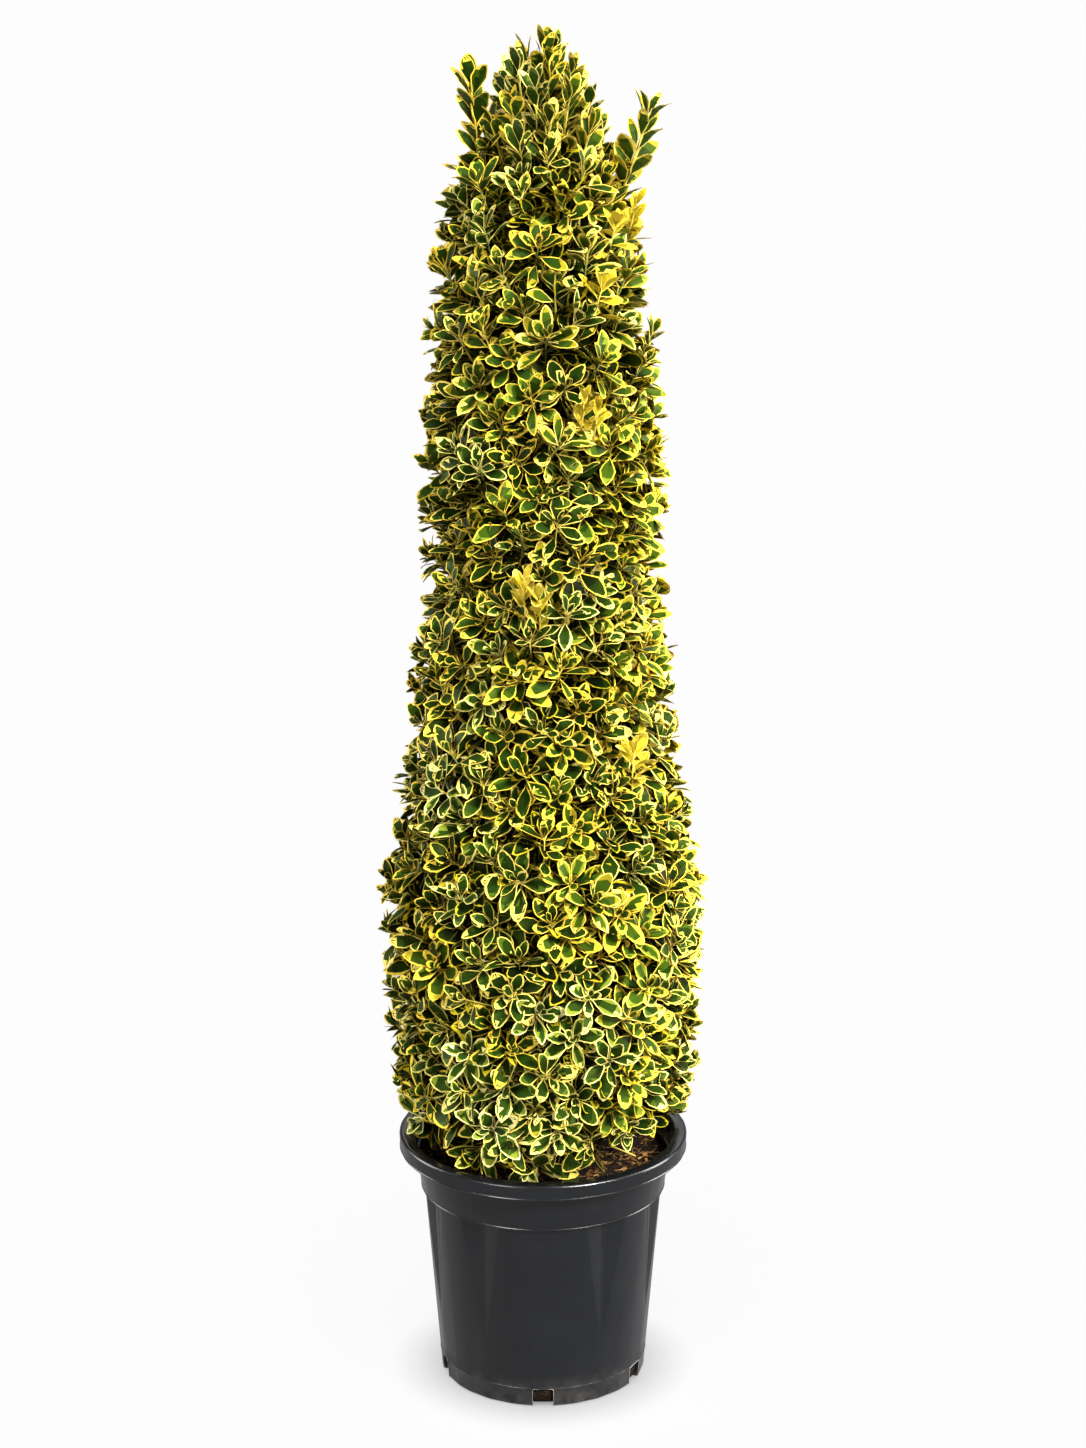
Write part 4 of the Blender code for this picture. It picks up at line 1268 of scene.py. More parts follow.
class MassSpace:
    """The space of one mass of a tier: a sector round the trunk between two slanting boundaries."""

    place_rounds: int = 6

    def __init__(self, habit: Habit, tier: int, number: int) -> None:
        """Works out the sector.

        Args:
            habit: The plant's habit.
            tier: The tier's number.
            number: The mass's number in it.
        """
        self.habit = habit
        self.tier = tier
        self.plan = habit.tiers[tier]
        self.name = f"{self.plan.name}_{number + 1}"
        self.azimuth = self.plan.first + 360 * number / self.plan.count
        self.outward = around(self.azimuth)
        half = 180 / self.plan.count
        self.walls = (quarter_on(around(self.azimuth - half)), -quarter_on(around(self.azimuth + half)))

    def low(self, point: Vector) -> float:
        """Returns the height of the lower boundary under a point."""
        floor = self.habit.soil_top + self.habit.soil_margin
        return self.habit.ceiling(self.tier - 1, point) if self.tier else floor

    def high(self, point: Vector) -> float:
        """Returns the height of the upper boundary over a point."""
        return self.plan.ceiling + self.habit.boundary_slope * point.dot(self.outward)

    def claims(self, point: Vector) -> bool:
        """Returns whether a point lies between the boundaries."""
        inside = all(point.dot(wall) >= 0 for wall in self.walls)
        return inside and self.low(point) < point.z <= self.high(point)

    def place(self, azimuth: float, share: float, radius_at: Callable[[float], float]) -> Vector:
        """Finds the point at a share of the space's height on a surface.

        Args:
            azimuth: The point's azimuth.
            share: Share of the height there.
            radius_at: The surface's radius by height.

        Returns:
            The point.
        """
        side = around(azimuth)
        height = self.plan.ceiling
        radius = radius_at(height)
        for _ in range(self.place_rounds):
            flat = side * radius
            height = self.low(flat) + (self.high(flat) - self.low(flat)) * share
            radius = radius_at(height)
        return side * radius + UP * height

    def under(self, azimuth: float, share: float, depth: float) -> Vector:
        """Returns the point at an azimuth and a share of the height, at a depth under the outline."""
        return self.place(azimuth, share, lambda height: self.habit.reach(height) - depth)

    def fork(self, tip: Vector, rise: float) -> Vector:
        """Finds where a limb leaves the mass's inner limbs.

        Args:
            tip: The limb's tip.
            rise: How far it climbs.

        Returns:
            A point deep in the mass, lower than the tip.
        """
        habit = self.habit
        offset = (azimuth_of(tip) - self.azimuth + 180) % 360 - 180
        low, high = (self.under(self.azimuth, share, habit.stem_depth).z for share in (0, 1))
        share = clamped((tip.z - rise - low) / (high - low), *habit.twig_forks)
        return self.under(self.azimuth + offset * habit.twig_fan, share, habit.stem_depth)


# Trunk and boughs


@dataclass
class Framework:
    """The trunk and its boughs, with bark in relief.

    Attributes:
        furrows: Waves of the bark: how strong, how many round the trunk and how many up it.
        knobs: How strong the limbs' knobs are, how close, and how much is left to chance.
        stock: The boughs and limbs so far.
    """

    habit: Habit
    trunk_sides: int = 44
    trunk_rings: int = 190
    ring_crowding: float = 1.15
    furrows: tuple[tuple[float, float, float], ...] = ((1.0, 11, 14), (0.6, 19, -23), (0.35, 4, 160))
    furrow_wander: tuple[float, float] = (1.5, 37)
    furrow_depth: float = 0.022
    bark_radius: float = 0.955
    stubs: int = 26
    stub_height: float = 0.006
    stub_breadth: float = 0.35
    stub_rise: float = 0.0012
    bough_thickness: float = 0.5
    bough_foot: float = 0.97
    bough_taper: float = 0.66
    bough_bend: float = 0.5
    bough_start: float = 0.8
    bough_rise: float = 0.075
    bough_stop: float = 0.010
    bough_entry: float = 0.50
    bough_entry_spread: float = 0.008
    bough_lowest: float = 0.415
    bough_sides: int = 14
    bough_rings: int = 15
    knobs: tuple[float, float, float] = (0.10, 2.4, 0.05)
    seed: int = 7
    stock: MeshStock = field(default_factory=lambda: MeshStock("bough_bark"))

    def trunk_radii(self, height: float, turns: np.ndarray, stubs: Table) -> np.ndarray:
        """Shapes the bark of the trunk.

        Args:
            height: Where.
            turns: Angles round the trunk, in radians.
            stubs: Share of the trunk's length and angle of each old twig's stub.

        Returns:
            The radius at each angle.
        """
        habit = self.habit
        share = habit.trunk_share(height)
        rise = habit.trunk_tip - habit.trunk_foot
        lobes = 1 - habit.flare_lobe_depth + habit.flare_lobe_depth * np.cos(habit.flare_lobes * turns)
        radii = np.array([habit.trunk_radius(height, lobe) for lobe in lobes])
        wander, close = self.furrow_wander
        furrow = np.zeros(len(turns))
        for index, (strength, count, climb) in enumerate(self.furrows):
            bend = 0 if index else wander * np.sin(close * height)
            furrow += strength * np.sin(count * turns + climb * height + bend)
        radii *= self.bark_radius + self.furrow_depth * furrow
        for place, way in stubs:
            aside = np.angle(np.exp(1j * (turns - way))) / self.stub_breadth
            near = ((share - place) * rise / self.stub_height) ** 2 + aside**2
            radii += self.stub_rise * np.exp(-near) * (1 - 0.6 * share)
        return radii

    def trunk(self) -> MeshStock:
        """Makes the trunk, with furrows that wind up it and the stubs of old twigs.

        Returns:
            Its mesh.
        """
        habit = self.habit
        turns = 2 * np.pi * np.arange(self.trunk_sides) / self.trunk_sides
        round_it = np.stack([np.sin(turns), -np.cos(turns)], axis=1)
        rng = np.random.default_rng(self.seed)
        stubs = [(rng.uniform(0.02, 0.98), rng.uniform(0, 2 * np.pi)) for _ in range(self.stubs)]
        rings = []
        for ring in range(self.trunk_rings + 1):
            share = (ring / self.trunk_rings) ** self.ring_crowding
            height = habit.trunk_foot + (habit.trunk_tip - habit.trunk_foot) * share
            flat = self.trunk_radii(height, turns, stubs)[:, None] * round_it
            centre = np.array(habit.trunk_centre(height))[:2]
            rings.append(np.column_stack([flat + centre, np.full(self.trunk_sides, height)]))
        stock = MeshStock("trunk_bark")
        stock.add_rings(rings)
        return stock

    def add_limb(self, line: Sequence[Vector], radii: Sequence[float], sides: int) -> None:
        """Adds a limb with knobbly bark.

        Args:
            line: Its points.
            radii: Its radius at each of them.
            sides: Number of sides.
        """
        rng = random.Random(len(self.stock.points) + self.seed)
        size, close, stray = self.knobs
        swells = [1 + size * math.sin(close * step) + rng.uniform(-stray, stray) for step in range(len(line))]
        self.stock.add_tube(line, [radius * swell for radius, swell in zip(radii, swells)], sides)

    def bough(self, space: MassSpace, rng: random.Random) -> tuple[Vector, Vector, float]:
        """Grows a mass's bough.

        Args:
            space: The mass's space.
            rng: The mass's seeded numbers.

        Returns:
            The bough's tip, its direction there and its radius.
        """
        habit = self.habit
        low, high = (space.place(space.azimuth, share, habit.shaft).z for share in (0, 1))
        spread = rng.uniform(-self.bough_entry_spread, self.bough_entry_spread)
        entry = max(low + (high - low) * self.bough_entry + spread, self.bough_lowest)
        foot = entry - self.bough_rise
        radius = habit.trunk_radius(foot) * self.bough_thickness
        start = habit.trunk_centre(foot) + space.outward * habit.trunk_radius(foot) * self.bough_start
        end = space.outward * (habit.shaft(entry) - self.bough_stop) + UP * entry
        bend = start.lerp(end, 0.5) + (space.outward - UP) * radius * self.bough_bend
        line = bent(start, bend, end, self.bough_rings)
        loss = (1 - self.bough_taper) / self.bough_rings
        radii = [radius * (self.bough_foot - loss * step) for step in range(len(line))]
        self.add_limb(line, radii, self.bough_sides)
        return end, (end - bend).normalized(), radius * self.bough_taper

    def build(self, bark: Material, nodes: Sequence[str]) -> None:
        """Makes the trunk's and the boughs' pieces, which stand for the trunk and the nodes given."""
        settle(self.trunk().make([bark]), "bark", "trunk")
        settle(self.stock.make([bark]), "bark", *nodes)


# Leaves


@dataclass(frozen=True)
class LeafForm:
    """One blade in its own frame, a unit long: x across, y from root to tip, z out of its upper face.

    Attributes:
        zones: For each face 0 for the blade's foot, 1 its middle, 2 the flush beside it and 3 its edge.
        marks: The points' places on the blade.
    """

    points: np.ndarray
    faces: np.ndarray
    zones: np.ndarray
    marks: np.ndarray


@dataclass
class LeafMould:
    """Makes blades of one fineness.

    Attributes:
        places: Where the blade's cross-sections lie along it.
        zoned: Whether each half has a flush and an edge beside its middle, or only an edge.
        edge: Width of its edge over the blade's width.
        foot_fullness: Power that shapes its foot, the lower the fuller.
        tip_fullness: The like for its tip, at the least and most.
        foot_end: Where the foot's darker colour, partly painted shade, ends, at the least and most.
        tip_flush_and_sheen: Where the flush, partly painted sheen, runs in to the midrib.
    """

    places: tuple[float, ...]
    zoned: bool
    width: float = 0.44
    widest: float = 0.60
    stalk: float = 0.055
    edge: float = 0.060
    teeth: float = 0.018
    foot_fullness: float = 0.92
    tip_fullness: tuple[float, float] = (0.50, 0.82)
    foot_end: tuple[float, float] = (0.25, 0.62)
    flush_and_sheen_start: float = 0.35
    tip_flush_and_sheen: float = 0.80

    def half_width(self, place: float, tip_fullness: float) -> float:
        """Finds half the blade's width.

        Args:
            place: Where along the blade.
            tip_fullness: How full its tip is.

        Returns:
            The half width there.
        """
        blade = max((place - self.stalk) / (1 - self.stalk), 0.0)
        power = math.log(0.5) / math.log(self.widest)
        fullness = tip_fullness if place > self.widest else self.foot_fullness
        swell = math.sin(math.pi * blade**power) ** fullness if blade > 0 else 0.0
        return self.width / 2 * max(swell, 0.07)

    def make(self, rng: random.Random) -> LeafForm:
        """Makes one form.

        Args:
            rng: Seeded numbers, which vary its folds and the edge of its green.

        Returns:
            The form.
        """
        fold, droop = rng.uniform(0.10, 0.42), rng.uniform(0.02, 0.26)
        curl, twist = rng.uniform(0.0, 0.5), rng.gauss(0, 0.16)
        wave, phase = rng.uniform(0.0, 0.035), rng.uniform(0, 2 * math.pi)
        broad_side, flush = rng.choice((-1, 1)), rng.uniform(0.05, 0.35)
        patch = rng.choice((0.0, 0.0, 0.12, 0.30))
        tip_fullness = rng.uniform(*self.tip_fullness)
        points: list[tuple[float, float, float]] = [(0, 0, 0)]
        marks: list[tuple[float, float]] = [(0.0, 0.0)]
        for index, place in enumerate(self.places[1:-1]):
            half = self.half_width(place, tip_fullness) * (1 + self.teeth * (-1) ** index)
            columns = [0.0]
            for side in (-1, 1):
                inner = 1 - self.edge * self.width / max(half, 0.02) * rng.uniform(0.75, 1.3)
                inner -= 0.42 * max(place - 0.72, 0)
                inner -= patch * (side == broad_side) * clamped((place - 0.35) / 0.3)
                inner = clamped(inner, 0.22, 0.90)
                middle = inner * (1 - flush * rng.uniform(0.2, 1.6))
                parts = (middle, inner, 1.0) if self.zoned else (inner, 1.0)
                columns += [side * part for part in parts]
            cosine, sine = math.cos(twist * place), math.sin(twist * place)
            for column in sorted(columns):
                aside = column * half
                lift = fold * abs(aside) * (1 - curl * abs(column)) - droop * place * place
                lift += wave * column * column * math.sin(9 * place + phase)
                points.append((aside * cosine - lift * sine, place, lift + aside * sine))
                marks.append((column, place))
        points.append((0, 1, -droop))
        marks.append((0.0, 1.0))
        return self._join(points, marks, rng)

    def _zone(self, strip: int, place: float, foot_end: float, tip_start: float, rng: random.Random) -> int:
        """Chooses a face's zone, so that the zones meet in ragged teeth.

        Args:
            strip: 0 at the midrib, 1 beside it and 2 at the edge.
            place: Where the face lies along the blade.
            foot_end: Where the foot's colour ends.
            tip_start: Where the edge's colour starts to run in over the tip.
            rng: Seeded numbers.

        Returns:
            The zone.
        """
        # Zone 0, the darker foot, is partly painted shade near the base; zone 2, the flush, is partly
        # grey-green variegation and partly painted sheen.
        ragged = rng.gauss(0, 0.10)
        if strip == 2 or place + ragged + 0.12 * strip > tip_start:
            return 3
        if strip == 1 and self.zoned and place + 2 * ragged > self.flush_and_sheen_start:
            return 2
        if place + ragged > self.tip_flush_and_sheen:
            return 2
        return 0 if place + ragged < foot_end else 1

    def _join(self, points: list, marks: list, rng: random.Random) -> LeafForm:
        """Joins cross-sections into a blade.

        Args:
            points: The root, each section from left to right, and the tip.
            marks: The points' places on the blade.
            rng: Seeded numbers.

        Returns:
            The form.
        """
        strips = (2, 1, 0, 0, 1, 2) if self.zoned else (2, 0, 0, 2)
        wide = len(strips) + 1
        sections = len(self.places) - 2
        foot_end = rng.uniform(*self.foot_end)
        tip_start = rng.choice((0.88, 1.0, 1.1))
        faces, zones = [], []
        for column, strip in enumerate(strips):
            faces.append((0, column + 2, column + 1))
            zones.append(3 if strip == 2 else 0)
            for section in range(sections - 1):
                this = 1 + section * wide + column
                place = (self.places[section + 1] + self.places[section + 2]) / 2
                faces += [(this, this + 1, this + 1 + wide), (this, this + 1 + wide, this + wide)]
                zones += [self._zone(strip, place, foot_end, tip_start, rng) for _ in range(2)]
            last = 1 + (sections - 1) * wide + column
            faces.append((last, last + 1, len(points) - 1))
            zones.append(3)
        return LeafForm(np.array(points, float), np.array(faces), np.array(zones), np.array(marks))


class Grade(Enum):
    """How finely a leaf is made, by how far it stands out."""

    FULL = LeafMould((0.0, 0.16, 0.37, 0.59, 0.79, 0.935, 1.0), True)
    PLAIN = LeafMould((0.0, 0.15, 0.37, 0.62, 0.86, 1.0), False)
    INNER = LeafMould((0.0, 0.30, 0.68, 1.0), False)


class LeafStock:
    """Leaves of one piece while they grow, all turned into a mesh at once."""

    def __init__(self, name: str, forms: dict[Grade, list[LeafForm]]) -> None:
        """Starts an empty piece.

        Args:
            name: Its name.
            forms: The blades to choose from.
        """
        self.name = name
        self.forms = forms
        self.grown: dict[tuple[Grade, int], list[tuple]] = {}

    def add(
        self,
        root: Vector,
        along: Vector,
        face: Vector,
        length: float,
        form: tuple[Grade, int],
        tone: Sequence[Tint],
    ) -> None:
        """Adds one leaf.

        Args:
            root: Where it leaves its twig.
            along: Its direction.
            face: The way that its upper face looks.
            length: Its length.
            form: Its grade, and the index of its form.
            tone: Tints of its foot, middle, flush and edge.
        """
        across = along.cross(face)
        rows = (tuple(across * length), tuple(along * length), tuple(face * length))
        self.grown.setdefault(form, []).append((tuple(root), rows, [tint.slot for tint in tone]))

    def mesh(self) -> MeshStock:
        """Joins the leaves.

        Returns:
            Their mesh.
        """
        stock = MeshStock(self.name)
        for (grade, number), leaves in self.grown.items():
            form = self.forms[grade][number]
            roots = np.array([leaf[0] for leaf in leaves])
            frames = np.array([leaf[1] for leaf in leaves])
            tones = np.array([leaf[2] for leaf in leaves])
            points = roots[:, None, :] + np.einsum("pk,nkx->npx", form.points, frames)
            offsets = np.arange(len(leaves))[:, None, None] * len(form.points)
            first = stock.add_points(points.reshape(-1, 3), np.tile(form.marks, (len(leaves), 1)))
            faces = (form.faces[None] + offsets).reshape(-1, 3)
            stock.add_faces(faces + first, tones[:, form.zones].reshape(-1))
        return stock


@dataclass(frozen=True)
class PairPlan:
    """One pair of leaves on a twig.

    Attributes:
        back: Distance behind the twig's tip.
        spread: Angle from the twig's axis.
        grade: How finely its leaves are made.
    """

    back: float
    spread: float
    size: float
    grade: Grade


@dataclass(frozen=True)
class SprayPlan:
    """The make of a spray.

    Attributes:
        pairs: Its pairs of leaves, from the tip down.
        turn: How far each pair is turned on from the last.
        swing: Range of the first pair's turn.
    """

    pairs: tuple[PairPlan, ...]
    turn: float
    swing: float = 360


class Spray(Enum):
    """The kinds of sprays."""

    ROSETTE = SprayPlan(
        (
            PairPlan(0.000, 12, 0.50, Grade.FULL),
            PairPlan(0.002, 26, 0.76, Grade.FULL),
            PairPlan(0.005, 40, 0.94, Grade.FULL),
            PairPlan(0.009, 53, 1.04, Grade.FULL),
            PairPlan(0.014, 64, 1.08, Grade.FULL),
            PairPlan(0.021, 73, 1.06, Grade.FULL),
            PairPlan(0.036, 80, 1.00, Grade.PLAIN),
        ),
        112.5,
    )
    UPRIGHT = SprayPlan(
        (
            PairPlan(0.000, 11, 0.58, Grade.FULL),
            PairPlan(0.004, 24, 0.86, Grade.FULL),
            PairPlan(0.010, 37, 1.02, Grade.FULL),
            PairPlan(0.018, 49, 1.06, Grade.FULL),
            PairPlan(0.028, 59, 1.06, Grade.FULL),
            PairPlan(0.040, 67, 1.02, Grade.FULL),
            PairPlan(0.054, 74, 0.98, Grade.PLAIN),
        ),
        90.0,
    )
    BACKING = SprayPlan(
        (
            PairPlan(0.000, 20, 0.70, Grade.PLAIN),
            PairPlan(0.004, 46, 0.94, Grade.PLAIN),
            PairPlan(0.010, 66, 1.04, Grade.PLAIN),
            PairPlan(0.018, 78, 1.04, Grade.PLAIN),
        ),
        112.5,
    )


@dataclass(frozen=True)
class Layer:
    """One layer of sprays over the crown.

    Attributes:
        area: Share of the crown's surface that each spray has.
        depth: How far the tips lie under the outline, at the least.
        spread: How much deeper they may lie.
        shaded: Share of its sprays that take the darkened SHADED tints, painted shade for the deeper layers.
        front: Whether it is one of the layers that show.
        turn: How far round it is turned against the others.
    """

    area: float
    depth: float
    spread: float
    shaded: float
    front: bool
    turn: float


@dataclass
class Grower:
    """Grows limbs, twigs and leaves in the spaces of the masses.

    Attributes:
        leaf_lengths: Length of a full-grown leaf, by height.
        bare_soil: Azimuths between which the soil's edge shows, under bare_height and past bare_radius.
        turn_stray: Stray of a leaf's turn round its twig, and what each try adds.
        spread_stray: The like for its angle from the twig.
        golden_spots: Across, height and radius of the places on the front where all sprays are golden.
    """

    habit: Habit
    framework: Framework
    forms: dict[Grade, list[LeafForm]]
    leaf_lengths: Table = ((0.36, 0.049), (0.60, 0.047), (0.95, 0.044), (1.40, 0.042), (1.65, 0.043))
    layers: tuple[Layer, ...] = (
        Layer(0.0031, 0.006, 0.027, 0.0, True, 0),
        Layer(0.0034, 0.034, 0.014, 0.50, True, 75),
        Layer(0.0046, 0.060, 0.016, 0.95, False, 30),
    )
    upright_over: float = 1.36
    upright_stray: float = 0.08
    # Painted shade: how deep under the outline, and how far back on a twig, leaves take the darkened SHADED
    # tints.
    shade_depth: float = 0.022
    shade_back: float = 0.045
    overhang: float = 0.012
    bare_soil: tuple[float, float] = (26, 100)
    bare_height: float = 0.376
    bare_radius: float = 0.098
    sizes: tuple[float, float] = (0.84, 1.10)
    tries: int = 4
    turn_stray: tuple[float, float] = (7, 14)
    spread_stray: tuple[float, float] = (6, 6)
    try_loss: float = 0.09
    leaf_roll: float = 0.42
    inner_leaves: int = 6
    inner_length: float = 0.062
    inner_inset: float = 0.034
    twig_sides: int = 4
    twig_length: float = 0.075
    twig_straight: float = 0.05
    twig_bend: tuple[float, float] = (0.12, 0.4)
    twig_radius: float = 0.0011
    twig_taper: tuple[float, ...] = (1.7, 1.5, 1.35, 1.2, 0.8)
    stem_sides: int = 10
    stem_entry: float = 0.012
    stem_taper: tuple[float, ...] = (1.0, 0.95, 0.72, 0.5)
    tip_depth: float = 0.024
    limb_depth: float = 0.060
    limb_sides: int = 7
    limb_steps: int = 6
    limb_rise: float = 0.045
    limb_lift: float = 0.005
    limb_radius: float = 0.0032
    limb_taper: float = 0.07
    lean_by_height: Table = (
        (0.33, -34), (0.38, -8), (0.46, 18), (0.60, 36), (1.00, 47), (1.35, 50), (1.50, 54), (1.70, 66),
    )
    lean_stray: float = 12
    aside_stray: float = 18
    golden_lean: float = 68
    golden_size: float = 0.85
    golden_front: float = 0.05
    golden_spots: tuple[tuple[float, float, float], ...] = (
        (-0.017, 1.10, 0.014), (0.060, 1.32, 0.020), (0.104, 1.55, 0.026), (0.070, 0.885, 0.018),
        (0.128, 0.885, 0.024), (0.060, 1.47, 0.018),
    )
    # right_span, bright_from and bright_span set painted light: more bright sprays towards the lit right side
    # and up the crown.
    right_span: float = 0.2
    bright_from: float = 0.48
    bright_span: float = 0.6
    cream_under: float = 0.75
    cream_span: float = 0.3

    def livery(self, tip: Vector, rng: random.Random) -> Livery:
        """Chooses how a spray is coloured by where it grows.

        Args:
            tip: The spray's tip.
            rng: Seeded numbers.

        Returns:
            Its livery.
        """
        if tip.y < self.golden_front:
            for across, height, radius in self.golden_spots:
                if math.hypot(tip.x - across, tip.z - height) < radius:
                    return Livery.GOLDEN
        # Painted light: BRIGHT sprays, and partly GOLDEN ones, grow likelier towards the lit right side;
        # BRIGHT ones also higher up.
        right = clamped(0.5 + tip.x / self.right_span)
        high = clamped((tip.z - self.bright_from) / self.bright_span, 0.14, 1.3)
        low = clamped((self.cream_under - tip.z) / self.cream_span)
        shares = (
            (Livery.GOLDEN, 0.008 * right),
            (Livery.BRIGHT, 0.06 + 0.68 * right * high),
            (Livery.CREAM_EDGED, 0.12 + 0.12 * (1 - right) + 0.38 * low),
        )
        draw = rng.random()
        for livery, share in shares:
            if draw < share:
                return livery
            draw -= share
        return Livery.YELLOW_EDGED

    def fits(self, tip: Vector, inset: float = 0.0) -> bool:
        """Tells whether a leaf may grow.

        Args:
            tip: The leaf's tip.
            inset: How far under the crown's reach it has to keep.

        Returns:
            Whether the tip keeps to the crown's reach, over the soil and off the soil's bare edge.
        """
        habit = self.habit
        if not habit.soil_top + habit.soil_margin <= tip.z <= habit.crown_top:
            return False
        start, end = self.bare_soil
        if start < azimuth_of(tip) < end and tip.z < self.bare_height and tip.xy.length > self.bare_radius:
            return False
        return tip.xy.length < habit.reach(tip.z) - inset + (self.overhang if tip.z > habit.pot_height else 0)

    def leaves(
        self,
        stock: LeafStock,
        line: Sequence[Vector],
        spray: SprayPlan,
        livery: Livery,
        rng: random.Random,
        scale: float = 1.0,
        free: bool = False,
    ) -> None:
        """Grows opposite pairs of leaves down a twig.

        Args:
            stock: Takes the leaves.
            line: The twig's points, foot first.
            spray: The make of the spray.
            livery: How the spray is coloured.
            rng: Seeded numbers.
            scale: Relative size of the leaves.
            free: Whether its leaves may stand out of the crown's outline.
        """
        tip = line[-1]
        axis = (tip - line[-2]).normalized()
        side = axis.orthogonal().normalized()
        over = axis.cross(side)
        first_turn = rng.uniform(-spray.swing / 2, spray.swing / 2)
        tone = rng.choice(livery.value)
        full = eased(self.leaf_lengths, tip.z) * scale
        for number, pair in enumerate(spray.pairs):
            root = self._along(line, pair.back)
            # Painted shade: leaves further back on the twig may take the darkened SHADED tints.
            inner = pair.grade is not Grade.FULL and rng.random() < pair.back / self.shade_back
            own = rng.choice(Livery.SHADED.value) if inner and livery is not Livery.GOLDEN else tone
            for half_turn in (0, 180):
                for attempt in range(self.tries):
                    stray = rng.gauss(0, self.turn_stray[0] + self.turn_stray[1] * attempt)
                    turn = math.radians(first_turn + spray.turn * number + half_turn + stray)
                    stray = rng.gauss(0, self.spread_stray[0] + self.spread_stray[1] * attempt)
                    spread = math.radians(pair.spread + stray)
                    outward = side * math.cos(turn) + over * math.sin(turn)
                    along = axis * math.cos(spread) + outward * math.sin(spread)
                    face = axis * math.sin(spread) - outward * math.cos(spread)
                    length = full * pair.size * rng.uniform(*self.sizes) * (1 - self.try_loss * attempt)
                    end = root + along * length
                    if free or self.fits(end):
                        face = (face + along.cross(face) * rng.gauss(0, self.leaf_roll)).normalized()
                        form = rng.randrange(len(self.forms[pair.grade]))
                        # Painted shade: only where the tip lies deep under the crown's outline do those
                        # darkened tints apply.
                        deep = self.habit.reach(end.z) - end.xy.length > self.shade_depth
                        stock.add(root, along, face, length, (pair.grade, form), own if deep else tone)
                        break

    @staticmethod
    def _along(line: Sequence[Vector], back: float) -> Vector:
        """Finds a point of a line.

        Args:
            line: The line's points.
            back: Distance behind its end.

        Returns:
            The point, or the line's start where the line is shorter.
        """
        for ahead, behind in zip(line[::-1], line[-2::-1]):
            stretch = (ahead - behind).length
            if back <= stretch:
                return ahead.lerp(behind, back / stretch)
            back -= stretch
        return line[0].copy()

    def twig(self, start: Vector, tip: Vector, axis: Vector) -> list[Vector]:
        """Bends a twig from its foot into a straight stretch up to its tip.

        Args:
            start: Its foot.
            tip: Its tip.
            axis: The way of its straight stretch.

        Returns:
            Its points, foot first.
        """
        bulge, sag = self.twig_bend
        knee = tip - axis * min(self.twig_straight, 0.6 * (tip - start).length)
        bend = start.lerp(knee, 0.6) + (knee - start).length * bulge * (axis - UP * sag)
        return bent(start, bend, knee, len(self.twig_taper) - 2) + [tip]

    def mass(self, space: MassSpace, tips: Sequence[Vector], rng: random.Random) -> list[Vector]:
        """Grows a mass's bough, stem and inner limbs.

        Args:
            space: The mass's space.
            tips: Twig tips of the solids' rule.
            rng: Seeded numbers.

        Returns:
            Points on its limbs that twigs may leave from.
        """
        habit = self.habit
        end, along, radius = self.framework.bough(space, rng)
        stem = [end, end + along * self.stem_entry]
        stem += [space.under(space.azimuth, share, habit.stem_depth) for share in habit.stem_shares]
        self.framework.add_limb(stem, [radius * share for share in self.stem_taper], self.stem_sides)
        joints = [stem[1].lerp(stem[2], share) for share in (0.3, 0.6, 1.0)] + [stem[3]]
        forks = []
        for tip in filter(space.claims, tips):
            fork = space.fork(tip, self.limb_rise * rng.uniform(0.7, 1.3))
            inward = around(azimuth_of(tip)) * (self.limb_depth - self.tip_depth)
            origin = min(joints, key=lambda joint: (joint - fork).length + 2 * max(joint.z - fork.z, 0))
            line = bent(origin, fork, tip - inward + UP * self.limb_lift, self.limb_steps)
            radii = [self.limb_radius * (1 - self.limb_taper * index) for index in range(len(line))]
            self.framework.add_limb(line, radii, self.limb_sides)
            forks += line[2:]
        return forks + joints

    def inner(self, leaves: LeafStock, forks: Sequence[Vector], rng: random.Random) -> None:
        """Grows the near-black leaves along the inner limbs, which close the view through the crown and paint
        the shade of its inside.

        Args:
            leaves: Takes the leaves.
            forks: Points on the limbs.
            rng: Seeded numbers.
        """
        for fork in (point for point in forks for _ in range(self.inner_leaves)):
            along = Vector((rng.gauss(0, 1), rng.gauss(0, 1), rng.gauss(0, 1))).normalized()
            face = along.orthogonal().normalized()
            face = (face * math.cos(2.1 * rng.random()) + along.cross(face)).normalized()
            length = self.inner_length * rng.uniform(0.8, 1.15)
            if self.fits(fork + along * length, self.inner_inset):
                form = rng.randrange(len(self.forms[Grade.INNER]))
                leaves.add(fork, along, face, length, (Grade.INNER, form), Livery.DARK.value[0])

    def sprays(
        self,
        leaves: LeafStock,
        twigs: MeshStock,
        tips: Sequence[Vector],
        forks: Sequence[Vector],
        layer: Layer,
        rng: random.Random,
    ) -> None:
        """Grows a spray for each tip from the nearest point of the limbs under it.

        Args:
            leaves: Takes the leaves.
            twigs: Takes the twigs.
            tips: Tips of the sprays.
            forks: Points that twigs may leave from.
            layer: The layer that they belong to.
            rng: Seeded numbers.
        """
        origins = np.array(forks)
        radii = [self.twig_radius * factor for factor in self.twig_taper]
        for tip in tips:
